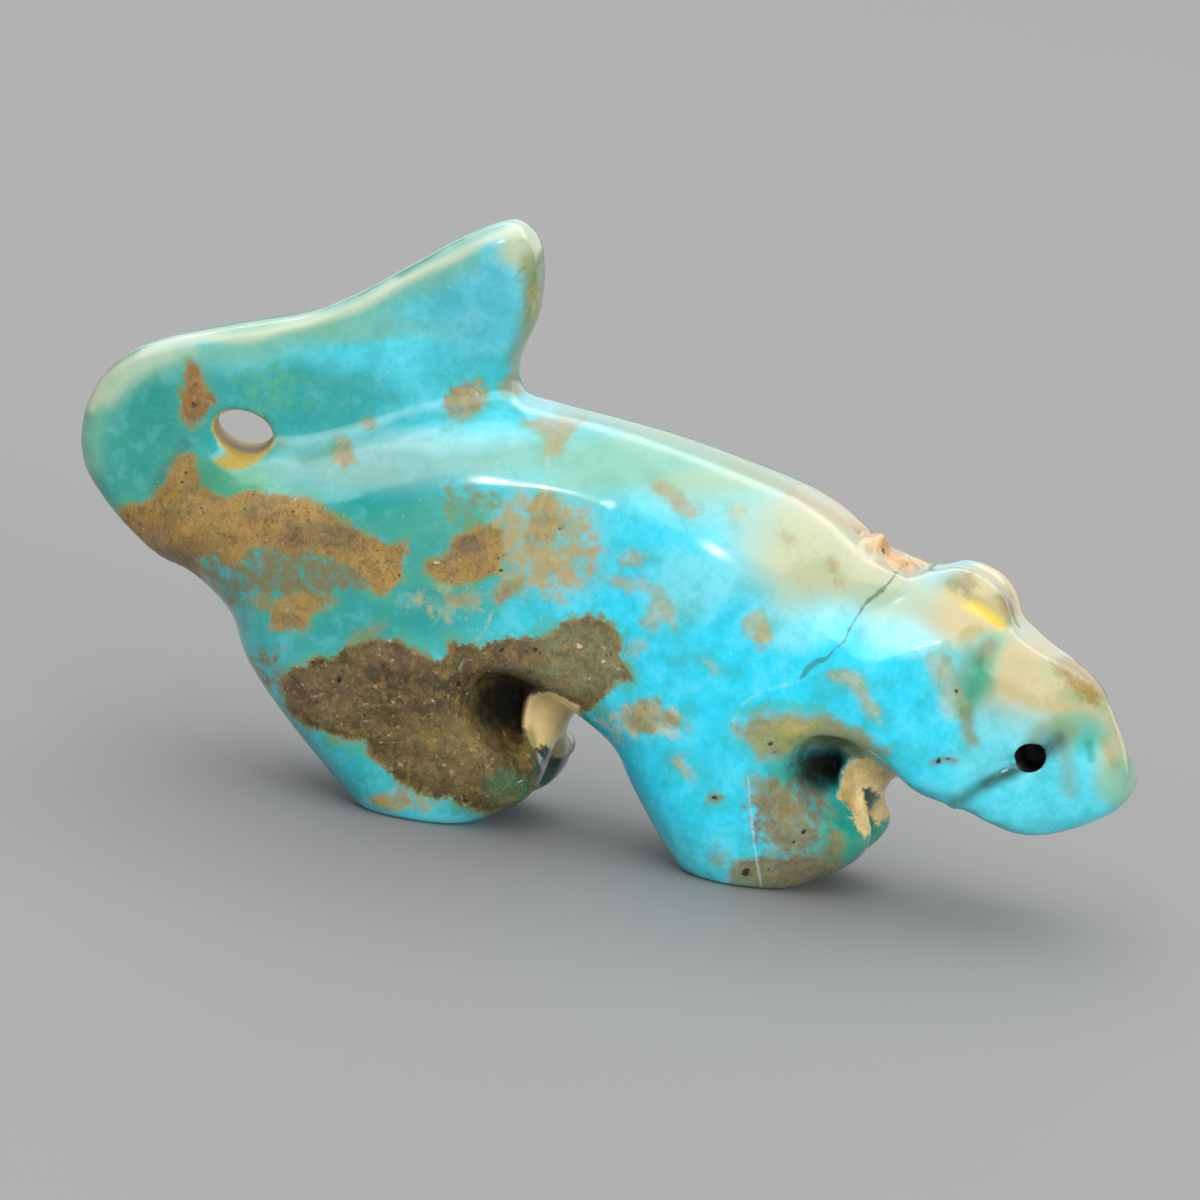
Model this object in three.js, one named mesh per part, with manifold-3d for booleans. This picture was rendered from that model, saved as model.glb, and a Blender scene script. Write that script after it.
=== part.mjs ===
// Mountain lion fetish, carved from one piece of turquoise: a cat standing with its head low and its tail
// laid over its back. Millimetres, +X towards the nose, +Y towards the animal's left side, +Z up. The origin
// is on the ground, under the middle of the carving.
//
// The stone is described the way it was carved. A slab is sawn to a side outline, its edges are rounded over,
// flats are ground on it, and gouges, channels and holes are cut into it. Every form up to the drilling is a
// signed distance, negative inside the stone, and the finished distance becomes one closed mesh.
import * as THREE from "three";
import { edgeTable, triTable } from "three/addons/objects/MarchingCubes.js";
import { mergeVertices } from "three/addons/utils/BufferGeometryUtils.js";
import Module from "manifold-3d";

// Driving dimensions, mm
const LENGTH = 52; // nose to the bend of the tail
const HEIGHT = 27.8; // ground to the tip of the tail
const RUMP_WIDTH = 9.6;
const HAUNCH_WIDTH = 13.4;
const WAIST_WIDTH = 11.8;
const SHOULDER_WIDTH = 13;
const NECK_WIDTH = 10.4;
const HEAD_BACK_WIDTH = 10;
const BROW_WIDTH = 9.6;
const CHEEK_WIDTH = 8.2;
const MUZZLE_WIDTH = 6;
const NOSE_WIDTH = 4;
const BULGE = 0.17; // share of its width that the body loses at the soles, and again at the back
const BODY_ROUND = 3.4; // radius of the rounded edges of the back
const FOOT_ROUND = 2.6; // and of the feet
const BACK_CROWN = 1.5; // fall of the back from its middle to its sides
const HEAD_ROUND = 0.7;
const HEAD_BEVEL = 1.9; // width of the slope between the top of the head and its side
const TAIL_WIDTH = 5.2; // at the bend
const TAIL_TIP_WIDTH = 4;
const TAIL_ROUND = 1.3;
const TAIL_HOLE_LENGTH = 3.3;
const TAIL_HOLE_HEIGHT = 2.4;
const EAR_LENGTH = 4.6;
const EAR_WIDTH = 3;
const EAR_HEIGHT = 3.5;
const EAR_SPACING = 2.3; // middle to middle
const WEB_WIDTH = 4.4; // round web between the two gouges over a pair of feet
const WEB_LENGTH = 2.8;
const WEB_WALL = 2.2; // stone left behind it
const GOUGE_LENGTH = 6.4;
const GOUGE_HEIGHT = 4.2;
const GOUGE_STAND_OFF = 0.4; // of its middle from the side of the stone
const GOUGE_SET_BACK = 0.3; // of its middle from the front of the foot
const CHANNEL_WIDTH = 2.6; // between the left and the right foot
const REAR_CHANNEL_HEIGHT = 3.6;
const FRONT_CHANNEL_HEIGHT = 4.2;
const CHANNEL_OVERRUN = 2.08; // past the front of the feet
const NECK_FLAT_DEPTH = 0.9;
const NECK_WHEEL = 9; // radius of the wheel that ground it
const EYE_BORE = 1.35;
const EYE_DEPTH = 2;
const GROOVE_WIDTH = 0.8; // V groove that runs through the eye
const GROOVE_DEPTH = 0.5;
const GROOVE_WHEEL = 8; // radius of the wheel that cut it
const FILLET = 0.9; // width of the fillet where the head or the tail meets the body
const CUT_FILLET = 0.6; // along the edge of a gouge
const SMALL_FILLET = 0.5; // round the ears, the webs and the channels
const FLAT_FILLET = 0.3; // along the edge of a ground flat

// Angles, radians
const EAR_SLANT = 0.12; // that the front of an ear lies low
const GOUGE_SLANT = 0.38; // that the front of a gouge lies low
const NECK_FLAT_TILT = 0.64; // of the flat's face, upwards from square
const TAIL_HOLE_DIP = 0.2; // that the front of the oval lies low
const TAIL_HOLE_SWING = 0.12; // that its drill was off square, sideways
const TAIL_HOLE_TILT = 0.09; // and upwards
const GROOVE_CLIMB = 0.72; // of the groove towards the nose

// How finely the forms are cut up
const CELL = 0.9; // mm, grid that the surface is taken from
const RELAX_ROUNDS = 4;
const OUTLINE_STEPS = 4; // between two points of an outline
const EYE_SIDES = 16;
const TAIL_HOLE_SIDES = 24;
const WHEEL_SIDES = 60;

// Places in the side view, from percentages of the length, starting at the tail's bend, and of the height,
// starting at the ground.
const along = (percent) => (percent / 100 - 0.5) * LENGTH;
const above = (percent) => (percent / 100) * HEIGHT;

const BODY_MIDDLE = above(34); // height where the body is widest
const CROWN_BAND = [above(36), above(56)]; // heights over which the back takes its crown
const ROUND_BAND = [above(12), above(48)]; // and over which the feet's rounding becomes the back's
const BEVEL_BAND = [above(24), above(36)]; // and over which the bevel of the head fades in
const TAIL_TAPER = [along(14), along(38)]; // stretch along which the tail narrows
const TAIL_HOLE_PLACE = [along(16), above(56.6)];
const EAR_PLACE = [along(82.8), above(51.2)];
const EYE_PLACE = [along(91.3), above(29.9)];
const NECK_FLAT_PLACE = [along(79.4), above(45.5)];
const GROOVE_STRETCH = [along(85.3), along(94)];
const GROOVE_MIDDLE = above(28.2);
const GOUGE_MIDDLE = above(19.2);
const WEB_BAND = [above(9), above(28)]; // foot and top of a web
const LEG_PAIRS = [
  { rear: along(20), front: along(47.9), channelHeight: REAR_CHANNEL_HEIGHT },
  { rear: along(52), front: along(77.8), channelHeight: FRONT_CHANNEL_HEIGHT },
];

// Outlines in percent. The feet run on below the ground, where the soles are cut flat.
const BODY_OUTLINE = [
  [8.6, 39.8], [9.6, 45.6], [13, 51], [27.8, 63.2], [36.6, 70.4], [44.7, 70.4], [53.7, 69], [66.4, 64.6],
  [70.1, 61.7], [75.3, 55.6], [79, 53.8], [83, 46], [85, 32], [83, 21], [78.6, 21.6], [77.7, 16], [78.1, 9.4],
  [76.6, 5], [73.6, 1.6], [69.6, -4], [64.4, -4], [56.2, 13.2], [54.5, 18], [49.8, 21.8],
  [48.2, 17.4], [47.8, 9.6], [46.6, 5], [43.6, 1.6], [39.6, -4], [34, -4], [30.6, 1.8],
  [19.7, 21.2], [18, 27.2], [14, 32], [9.8, 34.8],
];
const HEAD_OUTLINE = [
  [73, 54], [79, 54], [84, 52], [90.6, 45.8], [94.2, 43.2], [96, 40.2], [99.9, 26], [99.6, 23.4], [93, 16.3],
  [89.5, 16.8], [86.3, 19.1], [78, 22], [73, 28],
];
const TAIL_OUTLINE = [
  [11, 33.2], [7.8, 34.6], [0.9, 46.3], [0.1, 54], [1.5, 61.8], [4.3, 67.6], [13, 74.6], [20.7, 79.8],
  [35, 99], [37.3, 100], [39.3, 96.8], [40, 84.8], [38.8, 77], [38.9, 73.6], [37.4, 66], [30, 60], [22, 54],
  [15, 44],
];

// How far v has gone through a band, eased, from 0 to 1.
function through([from, to], v) {
  const t = Math.min(Math.max((v - from) / (to - from), 0), 1);
  return t * t * (3 - 2 * t);
}

// Union and cut of two distances, with a fillet about k wide.
function join(a, b, k = FILLET) {
  const near = Math.max(k - Math.abs(a - b), 0) / k;
  return Math.min(a, b) - (near * near * k) / 4;
}
const cut = (a, tool, k = FILLET) => -join(-a, tool, k);

// Distance to a closed outline in the side view, as a function of x and z.
function outlineDistance(outline) {
  const corners = outline.map(([x, z]) => new THREE.Vector3(along(x), above(z), 0));
  const curve = new THREE.CatmullRomCurve3(corners, true, "centripetal");
  const points = curve.getPoints(OUTLINE_STEPS * corners.length);
  const sides = points.slice(1).map((end, i) => {
    const start = points[i];
    const dx = end.x - start.x;
    const dz = end.y - start.y;
    return { x: start.x, z: start.y, dx, dz, square: dx * dx + dz * dz };
  });
  return (x, z) => {
    let nearest = Infinity;
    let inside = false;
    for (const s of sides) {
      const px = x - s.x;
      const pz = z - s.z;
      const t = Math.min(Math.max((px * s.dx + pz * s.dz) / s.square, 0), 1);
      const qx = px - t * s.dx;
      const qz = pz - t * s.dz;
      nearest = Math.min(nearest, qx * qx + qz * qz);
      if (pz < 0 !== pz < s.dz && px < (pz * s.dx) / s.dz) inside = !inside;
    }
    return (inside ? -1 : 1) * Math.sqrt(nearest);
  };
}

// Half width along the length, through stations of [percent of the length, full width].
function halfWidth(stations) {
  const places = stations.map(([x]) => along(x));
  const curve = new THREE.CubicInterpolant(places, stations.map(([, width]) => width / 2), 1);
  return (x) => curve.evaluate(Math.min(Math.max(x, places[0]), places.at(-1)))[0];
}

// A slab between two distances, with rounded edges.
function slab(outline, beyondSide, round) {
  const a = outline + round;
  const b = beyondSide + round;
  return Math.min(Math.max(a, b), 0) + Math.hypot(Math.max(a, 0), Math.max(b, 0)) - round;
}

// Distance to an ellipsoid, near enough for cutting and joining.
function ellipsoid(x, y, z, middle, radii) {
  const p = [(x - middle[0]) / radii[0], (y - middle[1]) / radii[1], (z - middle[2]) / radii[2]];
  const size = Math.hypot(...p);
  const slope = Math.hypot(p[0] / radii[0], p[1] / radii[1], p[2] / radii[2]);
  return slope > 0 ? (size * (size - 1)) / slope : -Math.min(...radii);
}

const bodyOutline = outlineDistance(BODY_OUTLINE);
const headOutline = outlineDistance(HEAD_OUTLINE);
const tailOutline = outlineDistance(TAIL_OUTLINE);
const bodyHalf = halfWidth([
  [8, RUMP_WIDTH], [27, HAUNCH_WIDTH], [50, WAIST_WIDTH], [63, SHOULDER_WIDTH], [77, NECK_WIDTH],
  [86, CHEEK_WIDTH],
]);
const headHalf = halfWidth([
  [72, HEAD_BACK_WIDTH], [80, BROW_WIDTH], [88, CHEEK_WIDTH], [94, MUZZLE_WIDTH], [100, NOSE_WIDTH],
]);

// y is the distance from the middle plane in all of these, because both sides are carved alike.
function body(x, y, z) {
  const half = bodyHalf(x) * (1 - BULGE * ((z - BODY_MIDDLE) / BODY_MIDDLE) ** 2);
  const crown = BACK_CROWN * (y / (HAUNCH_WIDTH / 2)) ** 2 * through(CROWN_BAND, z);
  const round = THREE.MathUtils.lerp(FOOT_ROUND, BODY_ROUND, through(ROUND_BAND, z));
  return slab(bodyOutline(x, z + crown), y - half, round);
}

function head(x, y, z) {
  const top = headOutline(x, z);
  const beyond = y - headHalf(x);
  const bevel = through(BEVEL_BAND, z) * HEAD_BEVEL;
  return Math.max(slab(top, beyond, HEAD_ROUND), (top + beyond + bevel) * Math.SQRT1_2);
}

function tail(x, y, z) {
  const width = THREE.MathUtils.lerp(TAIL_WIDTH, TAIL_TIP_WIDTH, through(TAIL_TAPER, x));
  return slab(tailOutline(x, z), y - width / 2, TAIL_ROUND);
}

function ear(x, y, z) {
  const middle = [EAR_PLACE[0], EAR_SPACING / 2, EAR_PLACE[1]];
  const slant = Math.tan(EAR_SLANT) * (x - middle[0]);
  return ellipsoid(x, y, z + slant, middle, [EAR_LENGTH / 2, EAR_WIDTH / 2, EAR_HEIGHT / 2]);
}

// A gouge into the side above a foot, open to the front, and the round web that is left in the middle plane.
function gouge(x, y, z, front) {
  const outer = bodyHalf(front) + GOUGE_STAND_OFF;
  const middle = [front - GOUGE_SET_BACK, outer, GOUGE_MIDDLE];
  const slant = Math.tan(GOUGE_SLANT) * (x - middle[0]);
  return ellipsoid(x, y, z + slant, middle, [GOUGE_LENGTH / 2, outer - WEB_WALL / 2, GOUGE_HEIGHT / 2]);
}
function web(x, y, z, front) {
  const size = Math.hypot((x - front + WEB_LENGTH / 2) / WEB_LENGTH, y / WEB_WIDTH);
  const [foot, top] = WEB_BAND;
  return Math.max((size - 0.5) * WEB_LENGTH, z - top, foot - z);
}

// A round-topped channel along x, between the left and the right foot.
function channel(x, y, z, from, to, height) {
  const section = slab(z - height, y - CHANNEL_WIDTH / 2, CHANNEL_WIDTH / 2);
  return Math.max(section, from - x, x - to);
}

// The wheel that ground a flat on each side of the neck, up to the ear.
function neckWheel(x, y, z) {
  const [flatX, flatZ] = NECK_FLAT_PLACE;
  const outwards = NECK_WIDTH / 2 - NECK_FLAT_DEPTH + NECK_WHEEL * Math.cos(NECK_FLAT_TILT);
  const upwards = flatZ + NECK_WHEEL * Math.sin(NECK_FLAT_TILT);
  return Math.hypot(x - flatX, y - outwards, z - upwards) - NECK_WHEEL;
}

function carving(x, side, z) {
  const y = Math.abs(side);
  let stone = join(body(x, y, z), head(x, y, z));
  stone = cut(stone, neckWheel(x, y, z), FLAT_FILLET);
  stone = join(stone, ear(x, y, z), SMALL_FILLET);
  stone = join(stone, tail(x, y, z));
  for (const { rear, front, channelHeight } of LEG_PAIRS) {
    stone = cut(stone, gouge(x, y, z, front), CUT_FILLET);
    stone = join(stone, web(x, y, z, front), SMALL_FILLET);
    stone = cut(stone, channel(x, y, z, rear, front + CHANNEL_OVERRUN, channelHeight), SMALL_FILLET);
  }
  return stone;
}

// The surface where a distance is zero, as a closed mesh taken from a regular grid.
const CORNERS = [[0, 0, 0], [1, 0, 0], [1, 1, 0], [0, 1, 0], [0, 0, 1], [1, 0, 1], [1, 1, 1], [0, 1, 1]];
const EDGES = [
  [0, 1], [1, 2], [2, 3], [3, 0], [4, 5], [5, 6], [6, 7], [7, 4], [0, 4], [1, 5], [2, 6], [3, 7],
];
const ON_SURFACE = 1e-3; // a grid point that lies on the surface is taken to be this far outside
const TABLE_ROW = triTable.length / edgeTable.length; // entries for each kind of cell

function surface(distance, low, high) {
  const count = low.map((v, axis) => Math.ceil((high[axis] - v) / CELL) + 1);
  const place = (v, axis) => low[axis] + v * CELL;
  const index = ([i, j, k]) => (k * count[1] + j) * count[0] + i;
  const field = new Float32Array(count[0] * count[1] * count[2]);
  const vertices = [];
  const faces = [];
  const made = new Map();
  const eachCell = (less, visit) => {
    for (let k = 0; k < count[2] - less; k++)
      for (let j = 0; j < count[1] - less; j++)
        for (let i = 0; i < count[0] - less; i++) visit([i, j, k]);
  };
  const vertexBetween = (a, b) => {
    const [from, to] = [index(a), index(b)].sort((p, q) => p - q);
    const key = from * field.length + to;
    if (!made.has(key)) {
      const t = field[index(a)] / (field[index(a)] - field[index(b)]);
      made.set(key, vertices.push(a.map((v, axis) => place(v + t * (b[axis] - v), axis))) - 1);
    }
    return made.get(key);
  };
  eachCell(0, (cell) => {
    const d = distance(...cell.map(place));
    field[index(cell)] = Math.abs(d) < ON_SURFACE ? ON_SURFACE : d;
  });
  eachCell(1, (cell) => {
    const corners = CORNERS.map((corner) => corner.map((v, axis) => v + cell[axis]));
    const kind = corners.reduce((bits, corner, c) => bits | (field[index(corner)] < 0 ? 1 << c : 0), 0);
    if (edgeTable[kind] === 0) return;
    for (let t = kind * TABLE_ROW; triTable[t] >= 0; t += 3) {
      const ends = [2, 1, 0].map((c) => EDGES[triTable[t + c]]);
      faces.push(ends.map(([a, b]) => vertexBetween(corners[a], corners[b])));
    }
  });
  return { vertices, faces };
}

// Evens out the triangles and puts every vertex back on the surface, a few times over.
const LEAST_SLOPE = 0.5; // keeps a vertex in place on a crease, where the distance has hardly any slope
const PROBE = CELL / 40; // step over which the slope is measured

function relax({ vertices, faces }, distance) {
  const around = vertices.map(() => new Set());
  faces.forEach((face) => face.forEach((v, c) => around[v].add(face[(c + 1) % 3]).add(face[(c + 2) % 3])));
  const slopeAt = (v) => v.map((_, axis) => {
    const ends = [PROBE, -PROBE].map((step) => distance(...v.map((c, a) => (a === axis ? c + step : c))));
    return (ends[0] - ends[1]) / (2 * PROBE);
  });
  for (let round = 0; round < RELAX_ROUNDS; round++) {
    const evened = vertices.map((v, i) => v.map((c, axis) => {
      const sum = [...around[i]].reduce((total, n) => total + vertices[n][axis], 0);
      return (c + sum / around[i].size) / 2;
    }));
    evened.forEach((v, i) => {
      const slope = slopeAt(v);
      const fall = distance(...v) / Math.max(slope.reduce((sum, s) => sum + s * s, 0), LEAST_SLOPE ** 2);
      vertices[i] = v.map((c, axis) => c - fall * slope[axis]);
    });
  }
}

const wasm = await Module();
wasm.setup();

function solid(geometry) {
  const bare = geometry.clone();
  bare.deleteAttribute("normal");
  bare.deleteAttribute("uv");
  const merged = mergeVertices(bare, 1e-4);
  return new wasm.Manifold(new wasm.Mesh({
    numProp: 3,
    vertProperties: new Float32Array(merged.attributes.position.array),
    triVerts: new Uint32Array(merged.index.array),
  }));
}

function geometryOf(manifold) {
  const { numProp, vertProperties, triVerts } = manifold.getMesh();
  const position = new THREE.BufferAttribute(new Float32Array(vertProperties), numProp);
  return new THREE.BufferGeometry().setAttribute("position", position)
    .setIndex(new THREE.BufferAttribute(new Uint32Array(triVerts), 1));
}

function carvedStone() {
  const room = 2 * CELL;
  const wide = Math.max(HAUNCH_WIDTH, SHOULDER_WIDTH) / 2 + room;
  const lowest = above(Math.min(...BODY_OUTLINE.map(([, z]) => z)));
  const low = [along(0) - room, -wide, lowest - room];
  const mesh = surface(carving, low, [along(100) + room, wide, HEIGHT + room]);
  relax(mesh, carving);
  return solid(new THREE.BufferGeometry()
    .setAttribute("position", new THREE.Float32BufferAttribute(mesh.vertices.flat(), 3))
    .setIndex(mesh.faces.flat()));
}

// What lies under the ground line.
function groundBlock() {
  return solid(new THREE.BoxGeometry(2 * LENGTH, 2 * LENGTH, HEIGHT).translate(0, 0, -HEIGHT / 2));
}

// The opening between the tail and the rump, right through.
function tailHole() {
  const bore = new THREE.CylinderGeometry(0.5, 0.5, 2 * HAUNCH_WIDTH, TAIL_HOLE_SIDES);
  const oval = bore.scale(TAIL_HOLE_LENGTH, 1, TAIL_HOLE_HEIGHT).rotateY(TAIL_HOLE_DIP);
  const askew = oval.rotateZ(TAIL_HOLE_SWING).rotateX(-TAIL_HOLE_TILT);
  return solid(askew.translate(TAIL_HOLE_PLACE[0], 0, TAIL_HOLE_PLACE[1]));
}

// Eyes and the grooves that run through them, on the left side with sign 1 and on the right with sign -1.
function eye(sign) {
  const [x, z] = EYE_PLACE;
  const bore = new THREE.CylinderGeometry(EYE_BORE / 2, EYE_BORE / 2, 2 * EYE_DEPTH, EYE_SIDES);
  return solid(bore.translate(x, sign * headHalf(x), z));
}
function groove(sign) {
  const [rear, front] = GROOVE_STRETCH;
  const lean = Math.atan2(headHalf(rear) - headHalf(front), front - rear);
  const toRim = GROOVE_WHEEL - GROOVE_DEPTH;
  const half = GROOVE_WIDTH / (2 * GROOVE_DEPTH); // half width of the wheel, 1 mm in from its rim
  const rim = [[0, -half], [GROOVE_WHEEL - 1, -half], [GROOVE_WHEEL, 0], [GROOVE_WHEEL - 1, half], [0, half]];
  const wheel = new THREE.LatheGeometry(rim.map(([r, h]) => new THREE.Vector2(r, h)), WHEEL_SIDES);
  const turned = wheel.rotateX(Math.PI / 2).rotateY(-GROOVE_CLIMB).rotateZ(-sign * lean);
  const x = (rear + front) / 2 + toRim * Math.sin(lean);
  const y = (headHalf(rear) + headHalf(front)) / 2 + toRim * Math.cos(lean);
  return solid(turned.translate(x, sign * y, GROOVE_MIDDLE));
}

const finished = [groundBlock(), tailHole(), eye(1), eye(-1), groove(1), groove(-1)]
  .reduce((stone, tool) => stone.subtract(tool), carvedStone());

const turquoise = new THREE.MeshStandardMaterial({ color: 0x3fb6c8, roughness: 0.25, metalness: 0 });
const lion = new THREE.Mesh(geometryOf(finished), turquoise);
lion.name = "mountain_lion";
const fetish = new THREE.Group();
fetish.add(lion);

export default fetish;
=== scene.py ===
import math
from collections import namedtuple

import bmesh
import bpy
import numpy as np
from mathutils import Color, Matrix, Vector, noise


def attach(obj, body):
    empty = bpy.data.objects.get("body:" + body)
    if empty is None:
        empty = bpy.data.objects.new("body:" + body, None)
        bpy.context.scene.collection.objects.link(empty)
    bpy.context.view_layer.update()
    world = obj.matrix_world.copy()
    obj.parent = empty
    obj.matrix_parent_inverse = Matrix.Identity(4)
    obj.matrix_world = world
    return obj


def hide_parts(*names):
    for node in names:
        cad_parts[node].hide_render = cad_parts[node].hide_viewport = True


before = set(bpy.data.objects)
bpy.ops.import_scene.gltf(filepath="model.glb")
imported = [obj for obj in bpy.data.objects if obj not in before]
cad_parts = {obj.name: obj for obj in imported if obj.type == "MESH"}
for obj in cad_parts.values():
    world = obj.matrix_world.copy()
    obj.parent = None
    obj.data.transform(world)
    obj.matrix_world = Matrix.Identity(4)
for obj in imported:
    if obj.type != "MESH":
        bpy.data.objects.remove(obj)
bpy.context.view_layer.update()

# Drawn in px. Halves of lines and folds, softness, depths, heights and radii of pits are in mm
Patch = namedtuple("Patch", "outline colour soft strength grain")  # matrix, a stain, or the painted shade of a notch; grain for how coarse
Zone = namedtuple("Zone", "middle radii colour strength")  # a soft ellipse of colour; where noted, it is painted sheen, reflection or shade
Spot = namedtuple("Spot", "middle radii strength")  # one without a colour
Stroke = namedtuple("Stroke", "route half colour strength")  # a soft brush stroke, with half its width; where noted, it is painted sheen, highlight or shade
Line = namedtuple("Line", "route half colour strength")  # a vein or crack, broken where it is weak
Fold = namedtuple("Fold", "route half height")  # a ridge, or a crease where its height is negative
Hollow = namedtuple("Hollow", "middle radii depth wall")  # a scoop with a steep wall on its right
Lump = namedtuple("Lump", "middle radii height")
Pit = namedtuple("Pit", "middle radius")

# Noises in mm, and what the material is mixed from
Waves = namedtuple("Waves", "size seed")
Grain = namedtuple("Grain", "per_mm detail rough drifts", defaults=(0.55, False))
Flecks = namedtuple("Flecks", "per_mm drifts", defaults=(True,))  # distances from the middles of cells
Level = namedtuple("Level", "source start end least most", defaults=(0.0, 1.0))  # eases from least to most
Layer = namedtuple("Layer", "colour share parts")  # mixed in by the product of its parts and its share
Panel = namedtuple("Panel", "place aim size power shines")  # a light, shining where reflections show it

MM = 0.001

# Camera of the photograph
IMAGE_SIZE = 1200
AZIMUTH = math.radians(13)
ELEVATION = math.radians(11)
ROLL = math.radians(8.56)
DISTANCE = 300.0
AIM = np.array([-0.145, -0.229, 11.021])
PIXELS_PER_MM = 21.51  # at the aim
SENSOR = 36.0
CLIP_START = 0.01  # m

# Fine mesh and its smoothing, mm
MERGE_DISTANCE = 0.0001
VOXEL = 0.196
SMOOTHING_STEP = 0.5
CRISP_ROUNDS = 3  # that the bores get
SMOOTHING_ROUNDS = 8
SOFT_ROUNDS = 24  # that SOFT_PLACES get
CRISP_REACH = (1.5, 1.1)  # times a bore's reach, where it starts to be crisp and where it is wholly so

# Relief, mm
UNEVENNESS = 0.02
MATRIX_SINK = 0.02
MATRIX_ROUGHNESS = 0.025
MATRIX_EDGE = 0.1  # half the width over which it sets in
FINE_ROUGHNESS = 0.6  # times the coarse one
CHIP_DEPTH = 0.35
CHIP_EDGE = 0.125
CHIP_LEVEL = 0.4  # mean share of its depth, and what its coarse and fine breaks add
CHIP_BREAKS = 1.1
CHIP_FINE_BREAKS = 0.5
CRACK_DEPTH = 0.04
CRACK_HALF_WIDTH = 0.16
PIT_DEPTH = 0.08
WEB_HALF = 0.7  # least half thickness that the recesses leave
WALL_WIDTH = 4  # px
FACING_FULL = 0.25  # how far a face turns to the camera before it takes its folds and pits in full
HOLLOW_CORE = 0  # share of an ellipse that is in full, in a hollow, a lump or a place of dirt and painted shade, and a zone
TIGHT_CORE = 0.1
ZONE_CORE = 0.4

# Noises of the form and of the colour fields
UNEVEN_WAVES = Waves(3.2, 1)
ROUGH_WAVES = Waves(0.45, 2)
FINE_ROUGH_WAVES = Waves(0.22, 3)
BREAK_WAVES = Waves(0.8, 4)
FINE_BREAK_WAVES = Waves(0.35, 7)
WARP_ACROSS = Waves(2.6, 5)
WARP_DOWN = Waves(2.6, 6)
SEED_STEP = Vector((7.3, 3.1, 5.7))
ZONE_WARP = 16  # px
STROKE_WARP = 5
MOTTLE_WARP = 8

# Bores of the solid: middle in the side view and reach, mm
TAIL_HOLE = (-17.7, 15.73)
TAIL_HOLE_REACH = (2.0, 1.6)
TAIL_THICKNESS = 4.2
SKEW_NEAR = (-0.3, 0.13)  # where the rims move, in the side view
SKEW_FAR = (-1.05, 0.13)
HOLE_SCALE = (0.91, 0.82)
SKEW_REACH = (1.75, 1.05)  # times the hole's reach, where the turn starts and where it is full
HOLE_WALL_REACH = (1.12, 1.02)
HOLE_WALL_TURN = (0.8, 0.6)  # how far a face of the wall may turn sideways
EYE = (21.47, 8.31)
EYE_REACH = 0.85
EYE_RADIUS = 0.66
SNAP_REACH = (0.34, 0.2)  # from an eye's rim, where points start to be drawn to it and where they are

# Reach of the fields beyond the middle plane and past the ends of lines, mm
NEAR_FADE = 0.6  # that a near patch shrinks for each mm beyond the middle plane
FAR_FADE = 3.0
LINE_SIDE = 0.5
LINE_END = 0.25
NO_LINE = 9.0
RED_TO_BLUE = (11 / 13, 1 / 13)  # where a colour starts to be lively, and where it wholly is

# Colours of the stone, sRGB
BLUE = (0, 200, 230)
SKY = (70, 196, 214)
AQUA = (112, 206, 216)
DEEP = (0, 158, 168)
TEAL = (4, 132, 122)
GREEN = (22, 128, 92)
SEA_GREEN = (70, 158, 126)
PALE_GREEN = (112, 168, 142)
UPPER_TEAL = (108, 160, 148)
CREAM = (172, 176, 140)
WARM_CREAM = (180, 166, 120)
# Cream of a painted highlight along the tail's top edge
HIGHLIGHT_CREAM = (196, 200, 168)
HIND_BROWN = (64, 55, 24)
GREY_BROWN = (112, 94, 68)
OLIVE_BROWN = (116, 100, 56)
OLIVE = (120, 128, 70)
PINK_BROWN = (116, 86, 66)
GREY_GREEN = (122, 130, 92)
OCHRE = (164, 128, 58)
ORANGE = (142, 98, 42)
TAN = (168, 146, 92)
KHAKI = (150, 158, 118)
PALE_TAN = (186, 180, 140)
HONEY = (240, 210, 146)
CHIP_TAN = (208, 158, 92)
OLIVE_TAN = (146, 142, 70)
DULL_KHAKI = (138, 134, 88)
SOLE_BROWN = (126, 120, 90)
TAIL_BLUE = (72, 166, 184)
YELLOW = (196, 168, 70)
BRIGHT_YELLOW = (226, 196, 66)
# Dark green of painted shade, in the notches, creases and the groove
PAINTED_SHADE_GREEN = (34, 54, 44)
# Near black of dirt, and of painted shade in the recesses and the eye bores
DIRT_AND_SHADE = (20, 20, 15)
PALE_VEIN = (176, 208, 200)
CRACK_GREEN = (48, 92, 54)
CRACK_OLIVE = (72, 72, 40)
# Green of painted shade in the groove
GROOVE_SHADE_GREEN = (36, 92, 78)
LIGHT_GRAIN = (158, 136, 80)
DARK_GRAIN = (50, 40, 20)
CRUMB = (214, 204, 176)
PALE_BLUE = (150, 222, 226)
MOSS = (110, 164, 96)

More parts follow.
